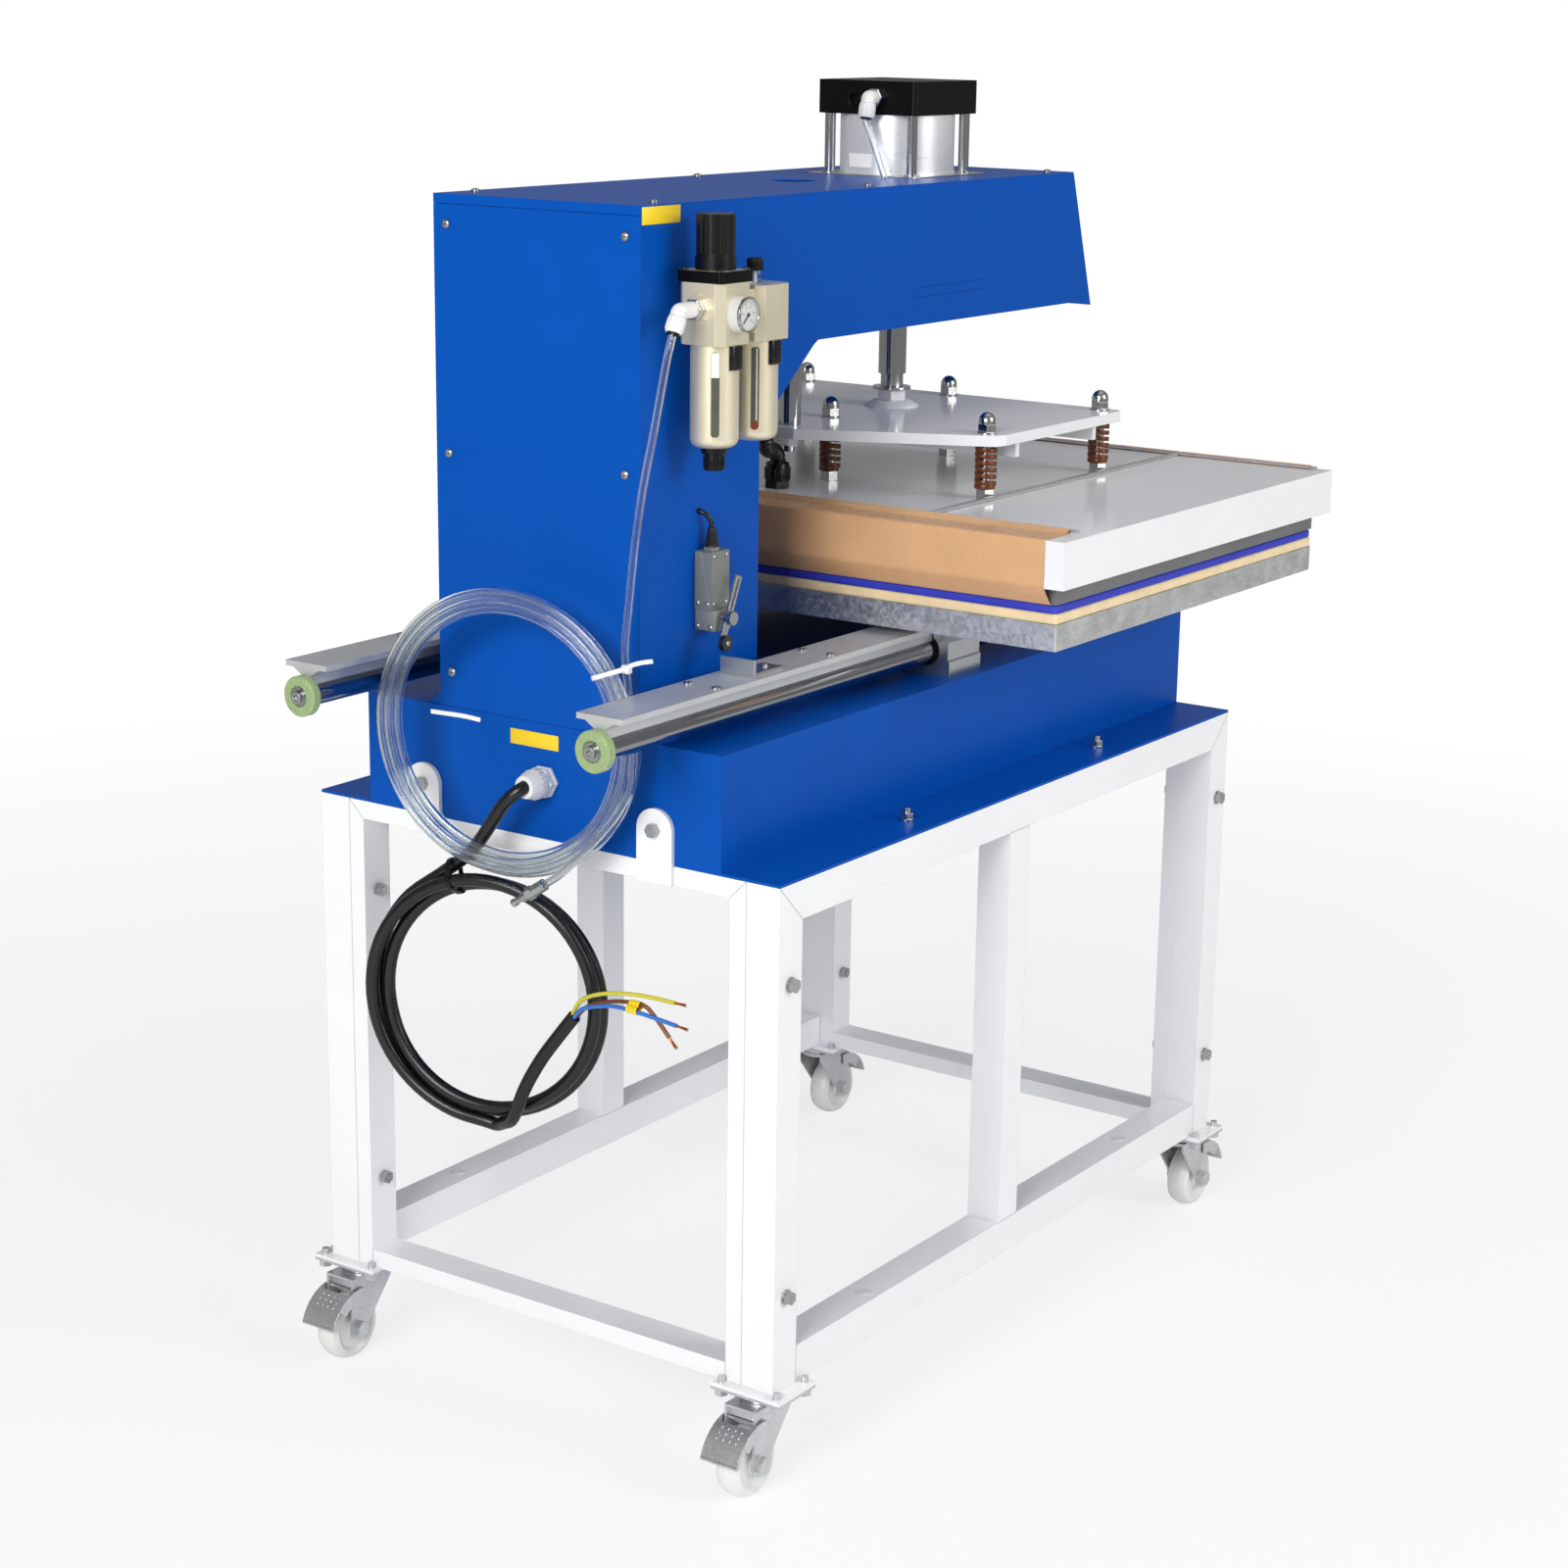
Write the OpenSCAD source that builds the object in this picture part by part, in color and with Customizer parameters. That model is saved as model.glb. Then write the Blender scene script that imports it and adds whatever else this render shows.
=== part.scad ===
/* [Stand] */
// Width of the stand over its side frames
stand_w = 604; // [580:2:640]
// Length of the stand from rear to front
stand_l = 954; // [930:2:1000]
// Height of the stand's top above the floor
stand_h = 649; // [580:1:720]
// Side of the square leg and rail tube
tube = 40; // [36:1:46]
// Width of the cross frames' flat tube, seen from the rear
cross_t = 20; // [18:1:25]
// Wall of the steel tubes
tube_wall = 2; // [1.5:0.5:3]
// Distance of the middle post from the rear of the stand
post_y = 460; // [400:2:540]
// Thickness of the mounting pad under each leg
pad_t = 4; // [3:0.5:6]

/* [Casters] */
// Radius of a caster wheel
wheel_r = 37.5; // [35:0.5:40]
// Width of a caster wheel
wheel_w = 29; // [26:1:32]
// Height of a caster from the floor to its top plate
caster_h = 109; // [106:1:116]
// Distance of the wheel behind the swivel
caster_trail = 30; // [26:1:34]
// Thickness of the fork's sheet
fork_t = 3; // [2.5:0.5:4]

/* [Base] */
// Width of the base box
base_w = 462; // [450:2:480]
// Height of the base box above the stand
base_h = 121.5; // [110:0.5:135]
// Thickness of the folded sheet of base, column and arm
sheet_t = 3; // [2.5:0.5:4]

/* [Column and arm] */
// Width of the column and arm
column_w = 260; // [250:2:270]
// Depth of the column from rear to front
column_d = 200; // [190:1:206]
// Height of the arm, from its underside to the lid's top
arm_h = 151.5; // [138:0.5:170]
// Reach of the arm's top edge from the rear
arm_top_y = 828; // [800:2:850]
// Reach of the arm's lower front edge from the rear
arm_low_y = 880; // [870:2:900]
// Length of the slanted gusset under the arm, along the arm
gusset_y = 104; // [90:1:120]
// Height of the slanted gusset under the arm
gusset_z = 82; // [70:1:95]

/* [Cylinder] */
// Distance of the cylinder's axis from the rear
cyl_y = 649; // [640:1:660]
// Side of the square end cap
cap_side = 132; // [128:1:136]
// Height of the end cap
cap_h = 37; // [32:1:42]
// Height of the barrel between plate and cap
barrel_h = 66; // [64:1:76]
// Bore of the cylinder
bore_r = 62.5; // [60:0.5:63]
// Radius of the piston rod
rod_r = 16; // [14:0.5:17]
// Travel of the piston
stroke = 50; // [40:1:50]

/* [Press head] */
// Half width of the pressure plate
plate_hw = 230; // [226:1:240]
// Gap between the platen's cover and the pressure plate
head_gap = 60; // [54:1:66]
// Length of rod that shows between the pressure plate and the arm
rod_show = 114; // [108:1:120]
// Thickness of the pressure plate
plate_t = 12; // [10:1:14]
// Spread of the spring studs across the machine, from the middle
stud_x = 206; // [200:1:212]
// Spread of the spring studs along the machine, from the cylinder's axis
stud_y = 126; // [120:1:130]
// Distance of the guide rod's axis from the rear
guide_y = 441.5; // [440:0.5:446]
// Radius of the guide rod
guide_r = 12.5; // [10:0.5:13]
// Curls of each pressure spring
spring_curls = 7; // [5:1:8]

/* [Heat platen] */
// Width of the heat plate and of the table
platen_w = 800; // [780:5:830]
// Length of the heat plate and of the table
platen_l = 600; // [590:2:620]
// How far the cover stands out over the heat plate all round
cover_out = 15.5; // [12:0.5:20]
// Height of the cover's side
cover_h = 50; // [44:1:52]
// Height of the heat plate that shows below the cover
heat_show = 19; // [16:1:22]
// Thickness of the release sheet
release_t = 0.6; // [0.4:0.1:1]

/* [Table and rails] */
// Thickness of the silicone pad
pad_h = 8.5; // [7:0.5:9]
// Thickness of the felt
felt_h = 11; // [9:0.5:12]
// Thickness of the table plate
table_t = 28; // [24:1:30]
// Thickness of the bars that hold the table plate on its rails
bar_h = 7.7; // [6:0.1:10]
// Distance of each rail from the middle
rail_x = 188; // [186:1:192]
// Radius of the rail shaft
shaft_r = 12.5; // [11:0.5:13]
// Overhang of the rails behind the stand
rail_back = 138; // [120:2:150]
// Radius of the rail bumpers
bumper_r = 21; // [19:0.5:23]
// Length of a bearing block
block_l = 65; // [60:1:70]

/* [Air unit] */
// Side of the unit's metal bodies
unit_w = 54; // [50:1:56]
// Distance between the two units' axes
unit_gap = 66; // [66:1:70]
// Height of the metal bodies
unit_h = 60; // [56:1:64]
// Radius of the bowls
bowl_r = 24; // [22:0.5:25]
// Length of the filter's bowl
bowl_l = 101; // [90:1:110]
// Radius of the regulator's knob
knob_r = 19; // [17:0.5:20]

/* [Cords] */
// Radius of the power cable
cable_r = 7; // [6:0.5:7]
// Radius of the air hose
hose_r = 4; // [3.5:0.5:4.5]
// Outer radius of the corrugated conduit
conduit_r = 9; // [8:0.5:9.5]

/* [Hidden] */
$fn = 48;
hull_fn = 32;
// Overrun of every cut past the face that it opens
cut = 1;
// Gap between pieces of different bodies that lie close to each other
near = 0.4;
// Radial clearance of a shaft that slides or turns in its hole
running = 0.05;
// Radial clearance of a bolt in its hole
bolt_gap = 0.3;
// Radius of a frame bolt, and the nut that goes with it
bolt_r = 4;
nut_af = 13;
nut_h = 6.5;
washer_r = 8;
washer_t = 1.6;
// Turn from the flats to the corners of a hexagon
hex_turn = 30;
half = 0.5;

// Heights that the stand gives
leg_z = caster_h + pad_t;
base_top = stand_h + base_h;
column_x = column_w / 2;
// Rail and bearing block, as the standard sizes of this kind of rail
rail_h = 33;
block_axis_h = 27;
// The table's layers and the press head, each on what carries it, with a gap that lets the table slide
table_gap = 0.5;
rail_z = base_top + block_axis_h;
flange_z = rail_z + rail_h;
table_low = flange_z + bar_h;
table_z = table_low + table_t;
felt_z = table_z + felt_h + near / 4;
pad_z = felt_z + pad_h + near / 4;
heat_z = pad_z + table_gap + release_t;
cover_z = heat_z + heat_show + cover_h;
plate_z = cover_z + head_gap + plate_t;
arm_z = plate_z + rod_show;
lid_z = arm_z + arm_h;

// Casters: place of each swivel, as shares of the mounting pad
pad_x = 86;
pad_y = 66;
pad_over = 16;
swivel_x = stand_w / 2 + pad_over - pad_x / 2;
swivel_rear = pad_y / 2 - pad_over * 3 / 4;
swivel_front = stand_l - swivel_rear;
pad_hole_x = pad_x * 0.4;
pad_hole_y = pad_y * 0.38;
plate_t_caster = 3;
race_r = 25;
race_h = 7;
fork_top_h = 5;
fork_gap = 2;
axle_r = 5;
axle_boss_r = 13;
pin_r = 3;
pedal_gap = 9;
pedal_t = 2.5;
pedal_from = 112;
pedal_to = 163;
pedal_pin_angle = 92;
pedal_cheek_turn = 8;

// Frame bolts: height of each pair, and places of the bolts that hold the base
bolt_z = [214, 546];
base_bolt_y_shares = [0.297, 0.723];
base_bolt_x = (base_w + stand_w) / 4;
tab_x = 152;
tab_w = 44;
tab_t = 5;
tab_hole_z = 684;
tab_bolt_r = 5;

// Base and column: fillet where the column stands on the base
foot_r = 25;
lid_t = 2;
lip_h = 9.5;
lip_t = 2;
cover_t = 2;
guide_hole_r = 24;
rod_hole_r = 22;
lid_opening = 156;
lid_opening_r = 10;
conduit_hole_r = conduit_r + near;
conduit_drop = 42;
conduit_z = arm_z - conduit_drop;
groove_y = 488;
groove_l = 148;
groove_up = 30;
groove_z = arm_z + groove_up;
groove_gap = 10;
groove_w = 1.2;
groove_d = 0.4;
arm_lip_y = 46;
arm_lip_z = 6;

// Screws of the rear cover and the lid
screw_r = 4.2;
screw_h = 2.6;
screw_shank_r = 2;
screw_in = 17.5;
cover_screw_shares = [0.0717, 0.5057, 0.9436];
cover_screw_z = [for (s = cover_screw_shares) base_top + s * (lid_z - base_top)];
lid_screw_y = [44, 419, 797];

// Cylinder
cyl_plate = 150;
cyl_plate_t = 30;
tie_at = 55;
tie_r = 6;
barrel_wall = 2.5;
piston_t = 14;
piston_gap = 1;
cyl_leg_t = 10;
bush_flange_r = 32;
bush_flange_t = 8;
bush_wall = 8;
bush_neck = 5;
bush_room = 2.4;
guide_bush_h = 56;
cap_edge_r = 6;
cyl_top = lid_z + 1;

// Press head
rod_neck_r = 13;
rod_neck_up = 38;
rod_neck_z = plate_z + rod_neck_up;
rod_nut_af = 30;
rod_nut_h = 13;
rod_disc_r = 22;
rod_disc_t = 3;
weld_r = 31;
weld_h = 7;
plate_rear_hw = 25;
plate_rear_y = 413;
plate_shoulder_y = 507;
plate_front_y = 790;
plate_corner_r = 9;
rib_t = 8;
rib_h = 17;
rib_y = 86;
rib_end = 8;
stud_r = 6;
stud_gap = 0.5;
stud_nut_af = 19;
stud_nut_h = 10;
acorn_r = 9.5;
acorn_h = 13;
lower_nut_h = 11;
spring_r = 9.2;
spring_wire_r = 2.9;
spring_wire_h = 1.7;
guide_in = 130;
guide_top_z = arm_z + guide_in;
guide_nut_af = 19;
guide_nut_h = 11;
guide_stud_r = 6;
guide_stud_l = 18;

// Heat platen
cover_t_sheet = 2;
heat_in = 8;
heat_x = platen_w / 2;
heat_rear = cyl_y - platen_l / 2;
heat_front = cyl_y + platen_l / 2;
cover_x = heat_x + cover_out;
cover_rear = heat_rear - cover_out;
cover_front = heat_front + cover_out;
element_r = 6;
element_gap = 0.3;
element_n = 6;
release_x = heat_x - 7;
flap_rear = 55;
flap_front = 17;
hem_h = 5;
hem_l = 11;
hem_rod_r = 1.6;
tension_r = 2.4;
tension_z = cover_z + tension_r + near;
tension_x = stud_x + stud_nut_af * 0.58 + tension_r + near;
gland_x = -15;
gland_in = 107.5;
gland_y = cover_rear + gland_in;
gland_r = 14;
gland_h = 28;
gland_bore_r = conduit_r + 2 * near;

// Table
soft_corner_r = 7;
bar_w = 60;
bar_y_shares = [0.1, 0.8];
rail_front = 928;
flange_w = 55;
flange_t = 6;
web_w = 13;
web_foot_w = 34;
web_foot_h = 7;
block_h = 47;
block_w = 60;
block_slot_w = 17;
block_cut = 9;
block_rear_y = 439;
block_front_y = 862.5;
bumper_t = 12;
bumper_screw_r = 8;
bumper_screw_h = 5;
rail_screw_pitch = 200;
rail_screw_x = 17.5;
rail_screw_r = 3;
trip_y = 84;
trip_w = 42;
trip_h = 18;
trip_t = 3;
trip_foot_l = 56;
trip_foot_w = 26;
handle_w = 300;
handle_out = 55;
handle_r = 9;

// Air unit: axis of the filter, and what stands round it
unit_x = 169;
unit_y = 68;
unit_up = 19;
unit_z = arm_z + unit_up;
unit_edge = 7.7;
bonnet_h = 11;
knob_h = 41;
knob_ring_h = 12;
knob_flutes = 18;
flute_r = 1.6;
drain_r = 11;
drain_h = 22;
unit_bracket_t = 4;
lub_drop = 6;
lub_cap_r = 8.4;
lub_cap_h = 13;
lub_dome_h = 11;
lub_bowl_l = 100;
window_w = 8.5;
window_d = 2;
window_turn = 38;
latch_w = 14;
latch_h = 24;
latch_d = 5;
gauge_r = 17;
gauge_t = 14;
gauge_lip = 2;
gauge_up = 30;
gauge_z = unit_z + gauge_up;
needle_l = 11;
needle_w = 1.4;
needle_t = 0.6;
needle_rest = -45;

// Fittings
fit_up = 35;
fit_z = unit_z + fit_up;
elbow_hex = 16;
elbow_out = 31;
elbow_r = 7;
elbow_turn = 25;
cap_elbow_out = 18;
cap_elbow_turn = 11;
collar_r = 8.5;
collar_l = 22;
cable_gland_x = 10;
cable_gland_z = 711;
cable_gland_hex = 34;
cable_gland_r = 15;
cable_gland_out = 35;
cap_port_x = 15;
cap_port_z = 19;

// Limit switch on the column's side
switch_y = 89;
switch_w = 30;
switch_d = 22;
switch_up = 119.5;
switch_z = base_top + switch_up;
switch_h = 60;
switch_head_h = 21;
switch_head_d = 27;
boot_r = 7;
boot_h = 22;
boot_rings = 5;
lever_x = 163;
lever_y = 100;
lever_drop = 6;
lever_z = switch_z - lever_drop;
lever_tilt = 24;
lever_down = 26;
lever_up = 44;
lever_w = 9;
lever_t = 3;
lever_slot = 4;
hub_r = 7;
hub_t = 9;
roller_r = 8;
roller_w = 6;
switch_cable_r = 3;

// Controls on the arm's slanted front
front_slope = (arm_low_y - arm_top_y) / (lid_z - arm_z + arm_lip_z);
front_turn = atan(front_slope);
panel_w = 150;
panel_h = 96;
panel_t = 6;
panel_up = 96;
panel_depth = 70;
stop_x = 96;
stop_r = 17;
stop_h = 16;
stop_collar_r = 20;
stop_collar_h = 7;
stop_stem_r = 8;
stop_travel = 4;
rocker_w = 14;
rocker_l = 26;
rocker_x = -98;
rocker_case_w = 20;
rocker_case_l = 34;
rocker_case_h = 6;
rocker_floor = 1;
rocker_low = 3;
rocker_pin_z = 4.8;
rocker_pin_r = 1.2;
valve_w = 30;
valve_l = 90;
valve_h = 44;
relay_w = 110;
relay_d = 50;
relay_h = 160;

// The object's middle from rear to front, where its origin lies
rear_over = rail_back + bumper_t + bumper_screw_h;
front_over = heat_front + handle_out;
rear_y = -(front_over - rear_over) / 2;

// Cord routes, as points chosen by hand from the rear of the stand
cable_lead = [[10, -21, 711], [10, -33, 711], [7, -40, 708], [-1, -45, 700], [-10, -46, 690], [-23, -47, 671],
    [-38, -47, 651], [-52, -48, 634]];
cable_tail = [[-6, -52, 353], [9, -58, 361], [20, -62, 377], [28, -62, 396], [37, -60, 415], [51, -57, 439],
    [69, -54, 464], [87, -51, 488]];
hose_drop = [[169, 3, 1181.5], [169, 0, 1175], [165, -5, 1148], [156, -12, 1083], [147, -18, 1026],
    [142, -24, 969], [138, -28, 911], [135, -30, 868]];
hose_tail = [[144, -38, 723], [136, -44, 705], [124, -51, 687], [108, -55, 668], [90, -58, 650], [74, -60, 635],
    [58, -62, 624]];
conductor_earth = [[84.8, -51, 490.1], [88, -51, 496], [95, -51, 506], [111, -51, 515], [135, -50, 522],
    [169, -48, 526], [210, -46, 526]];
conductor_neutral = [[88.7, -53.6, 487.6], [93, -53.6, 493.5], [101, -54, 500], [119, -54, 506], [141, -53, 510],
    [173, -50, 508], [213, -47, 503]];
conductor_live = [[88.7, -48.2, 487.4], [93, -48, 493], [102, -47, 501], [117, -46, 507], [139, -45, 513],
    [168, -44, 515], [182, -43, 506], [201, -43, 487]];
conductor_r = 2.2;
bare_r = 1.5;
bare_l = 14;
plug_r = 6.3;
plug_l = 16;
// The conduit's first points are counted from its gland, and its last from the hole in the column
conduit_low = [[0, 0, 10], [0, 0, 21], [0, 0, 32], [0.5, -5, 40], [2, -15, 44], [7, -30, 46.5], [12, -41, 57],
    [14, -43, 74], [15, -47, 96], [15, -64, 120]];
conduit_high = [[0, 350, -8], [0, 316, -1], [0, 276, 0], [0, 236, 0], [0, 188, 0]];
conduit_route = concat([for (p = conduit_low) p + [gland_x, gland_y, cover_z]],
    [for (p = conduit_high) p + [0, 0, conduit_z]]);
cylinder_route = [[15, 562, 1363], [15, 560, 1354], [20, 560, 1343], [28, 560, 1325], [36, 560, 1307], [42, 560, 1292],
    [47, 559, 1276], [50, 557, 1262]];
hose_hole = [42, 560];
switch_route = [[141, 104, 971], [141, 103, 977], [139, 100, 984], [134, 97, 988], [128, 96, 989], [120, 96, 989]];
switch_exit = [96, 989];

// Coils: middle, radius, turn of the plane, loops, first angle and way round
cable_coil_at = [-31, -45, 484];
cable_coil_r = 134;
cable_coil_turn = 15;
cable_coil_loops = 2.42;
cable_coil_from = 118;
cable_pitch = 2 * cable_r + 1.6;
hose_coil_at = [4, -57, 770];
hose_coil_r = 148;
hose_coil_turn = 9.6;
hose_coil_loops = 5.08;
hose_coil_from = 20;
hose_pitch = 2 * hose_r + 1.2;
loop_rings = 24;
loop_sides = 6;

// Plain helpers
module rear() { translate([0, rear_y, 0]) children(); }
module both_sides() { children(); mirror([1, 0, 0]) children(); }
// A profile drawn as (y, z), drawn out along X from x0
module along_x(x0, t) { translate([x0, 0, 0]) rotate([90, 0, 90]) linear_extrude(t) children(); }
// A profile drawn as (x, z), drawn out along Y from y0
module along_y(y0, t) { translate([0, y0 + t, 0]) rotate([90, 0, 0]) linear_extrude(t) children(); }
module rod_x(x0, y, z, l, r) { translate([x0, y, z]) rotate([0, 90, 0]) cylinder(r = r, h = l); }
module rod_y(x, y0, z, l, r) { translate([x, y0, z]) rotate([-90, 0, 0]) cylinder(r = r, h = l); }
module rod_z(x, y, z0, l, r) { translate([x, y, z0]) cylinder(r = r, h = l); }
module hex(af, h) { cylinder(r = af / 2 / cos(hex_turn), h = h, $fn = 6); }
module hex_x(x0, y, z, h, af) { translate([x0, y, z]) rotate([0, 90, 0]) hex(af, h); }
module hex_y(x, y0, z, h, af) { translate([x, y0, z]) rotate([-90, 0, 0]) hex(af, h); }
module hex_z(x, y, z0, h, af) { translate([x, y, z0]) hex(af, h); }
module block(a, b) { translate(a) cube(b - a); }
// A rectangle with round corners, made of squares and circles
module round_rect(a, b, r) {
    translate([a[0] + r, a[1]]) square([b[0] - a[0] - 2 * r, b[1] - a[1]]);
    translate([a[0], a[1] + r]) square([b[0] - a[0], b[1] - a[1] - 2 * r]);
    for (x = [a[0] + r, b[0] - r], y = [a[1] + r, b[1] - r]) translate([x, y]) circle(r);
}

// Tubes swept along points: a ring of points at each place, joined by triangles
function unit(v) = v / norm(v);
function headings(p) = [for (i = [0 : len(p) - 1]) unit(p[min(i + 1, len(p) - 1)] - p[max(i - 1, 0)])];
function carried(t, i, n) = i == len(t) ? [] :
    let (m = unit(n - (n * t[i]) * t[i])) concat([m], carried(t, i + 1, m));
function across(t) = abs(t[2]) < 0.7 ? [0, 0, 1] : [0, 1, 0];
function ring(c, t, n, r, sides) =
    [for (k = [0 : sides - 1]) c + r * (cos(360 * k / sides) * n + sin(360 * k / sides) * cross(t, n))];
function tube_rings(p, radii, sides) =
    let (t = headings(p), n = carried(t, 0, across(t[0])))
    [for (i = [0 : len(p) - 1]) ring(p[i], t[i], n[i], is_list(radii) ? radii[i] : radii, sides)];
function joined(lists) = [for (l = lists) for (e = l) e];
// Triangles between ring a and ring b, both of the same number of points
function wall_faces(a, b, sides) = joined([for (k = [0 : sides - 1])
    let (m = (k + 1) % sides)
    [[a * sides + k, b * sides + m, a * sides + m], [a * sides + k, b * sides + k, b * sides + m]]]);
function end_faces(a, sides, flip) = [for (k = [1 : sides - 2])
    flip ? [a * sides, a * sides + k, a * sides + k + 1] : [a * sides, a * sides + k + 1, a * sides + k]];
module skin(rings, sides, open_bore) {
    n = len(rings);
    walls = joined([for (i = [0 : n - 2]) wall_faces(i, i + 1, sides)]);
    ends = open_bore ? wall_faces(n - 1, 0, sides)
        : concat(end_faces(0, sides, true), end_faces(n - 1, sides, false));
    polyhedron(points = joined(rings), faces = concat(walls, ends), convexity = 8);
}
module tube_along(p, r, sides) { skin(tube_rings(p, r, sides), sides, false); }

// A piled coil of two layers: it spirals in and out again, and climbs to the other layer as it reverses
function climb(s) = s < 0 ? 0 : s > 1 ? 1 : s * s * (3 - 2 * s);
function coil_point(t, at, r, turn, loops, from, way, pitch) =
    let (mid = loops / 2, depth = t < mid ? t : loops - t, layer = climb((t - mid) * 2 + half),
        a = from + way * 360 * t, rad = r - pitch * depth, side = pitch * (half - layer),
        u = [cos(turn), sin(turn), 0], n = [-sin(turn), cos(turn), 0])
    at + rad * (cos(a) * u + sin(a) * [0, 0, 1]) + side * n;
function coil_points(at, r, turn, loops, from, way, pitch, run) =
    let (last = round(loops * loop_rings),
        p = [for (i = [0 : last]) coil_point(i / last * loops, at, r, turn, loops, from, way, pitch)],
        a = unit(p[0] - p[1]), b = unit(p[last] - p[last - 1]))
    concat([p[0] + run * a], p, [p[last] + run * b]);
cable_loops = coil_points(cable_coil_at, cable_coil_r, cable_coil_turn, cable_coil_loops,
    cable_coil_from, 1, cable_pitch, 2 * cable_r);
hose_loops = coil_points(hose_coil_at, hose_coil_r, hose_coil_turn, hose_coil_loops,
    hose_coil_from, -1, hose_pitch, 2 * hose_r);
// Least gap of a coil to itself, over points more than a quarter loop apart
function self_gap(p, r) = min([for (i = [0 : len(p) - 1]) for (j = [i + loop_rings / 4 : len(p) - 1])
    norm(p[i] - p[j])]) - 2 * r;
echo(cable_coil_gap = self_gap(cable_loops, cable_r));
echo(hose_coil_gap = self_gap(hose_loops, hose_r));

// Stand
module frame_windows(grow) {
    side = tube - grow;
    for (w = [[side, post_y - tube / 2 + grow], [post_y + tube / 2 - grow, stand_l - side]])
        translate([w[0], leg_z + side]) square([w[1] - w[0], stand_h - leg_z - 2 * side]);
}
module side_profile(inset) {
    difference() {
        translate([inset, leg_z + inset]) square([stand_l - 2 * inset, stand_h - leg_z - 2 * inset]);
        frame_windows(inset);
    }
}
module frame_bolt_places() {
    for (y = [tube / 2, stand_l - tube / 2], z = bolt_z) translate([0, y, z]) children();
}
module base_bolt_places() {
    for (s = base_bolt_y_shares) translate([base_bolt_x, s * stand_l, 0]) children();
}
module pad_outline(x, y) {
    difference() {
        translate([x - pad_x / 2, y - pad_y / 2]) square([pad_x, pad_y]);
        for (i = [-1, 1], j = [-1, 1]) translate([x + i * pad_hole_x, y + j * pad_hole_y]) circle(bolt_r);
    }
}
module side_frames() {
    color("white") rear() both_sides() {
        difference() {
            along_x(stand_w / 2 - tube, tube) side_profile(0);
            along_x(stand_w / 2 - tube + tube_wall, tube - 2 * tube_wall) side_profile(tube_wall);
            frame_bolt_places() rod_x(stand_w / 2 - tube - cut, 0, 0, tube + 2 * cut, bolt_r + bolt_gap);
            base_bolt_places() rod_z(0, 0, stand_h - tube - cut, tube + 2 * cut, bolt_r + bolt_gap);
        }
        for (y = [swivel_rear, swivel_front])
            translate([0, 0, caster_h]) linear_extrude(pad_t) pad_outline(swivel_x, y);
    }
}
module cross_profile(inset) {
    outer = stand_w / 2 - tube;
    side = cross_t - inset;
    difference() {
        translate([-outer + inset, leg_z + inset]) square([2 * outer - 2 * inset, stand_h - leg_z - 2 * inset]);
        translate([-outer + side, leg_z + side]) square([2 * outer - 2 * side, stand_h - leg_z - 2 * side]);
    }
}
module cross_frame(y) {
    difference() {
        along_y(y, tube) cross_profile(0);
        along_y(y + tube_wall, tube - 2 * tube_wall) cross_profile(tube_wall);
        both_sides() frame_bolt_places()
            rod_x(stand_w / 2 - tube - cross_t - cut, 0, 0, cross_t + 2 * cut, bolt_r + bolt_gap);
    }
}
module tab_outline() {
    difference() {
        union() {
            translate([-tab_w / 2, stand_h - cross_t]) square([tab_w, tab_hole_z - stand_h + cross_t]);
            translate([0, tab_hole_z]) circle(tab_w / 2);
        }
        translate([0, tab_hole_z]) circle(tab_bolt_r + bolt_gap);
    }
}
module cross_frames() {
    color("white") rear() {
        cross_frame(0);
        cross_frame(stand_l - tube);
        both_sides() along_y(-tab_t, tab_t) translate([tab_x, 0]) tab_outline();
    }
}
module frame_bolt() {
    out = stand_w / 2;
    grip = tube + cross_t;
    hex_x(out + washer_t, 0, 0, nut_h, nut_af);
    rod_x(out, 0, 0, washer_t, washer_r);
    rod_x(out - grip - nut_h - washer_t - cut, 0, 0, grip + nut_h + 2 * washer_t + 2 * cut, bolt_r);
    hex_x(out - grip - washer_t - nut_h, 0, 0, nut_h, nut_af);
}
module base_bolt() {
    top = stand_h + sheet_t;
    rod_z(0, 0, top, washer_t, washer_r);
    hex_z(0, 0, top + washer_t, nut_h, nut_af);
    rod_z(0, 0, stand_h - tube - cut, tube + sheet_t + washer_t + nut_h + 2 * cut + bolt_r, bolt_r);
    hex_z(0, 0, stand_h - tube - nut_h, nut_h, nut_af);
}
module pan_screw() {
    cylinder(r = screw_r, h = screw_h);
    translate([0, 0, -cover_t - sheet_t]) cylinder(r = screw_shank_r, h = cover_t + sheet_t + cut);
}
module fixings() {
    color("silver") rear() {
        both_sides() {
            frame_bolt_places() frame_bolt();
            base_bolt_places() base_bolt();
            hex_y(tab_x, -tab_t - nut_h, tab_hole_z, nut_h, nut_af);
            rod_y(tab_x, -tab_t - cut, tab_hole_z, tab_t + sheet_t + nut_h + 2 * cut, tab_bolt_r);
            for (z = cover_screw_z) translate([column_x - screw_in, 0, z]) rotate([90, 0, 0]) pan_screw();
            for (y = lid_screw_y) translate([column_x - screw_in, y, lid_z]) pan_screw();
        }
    }
}

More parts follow.
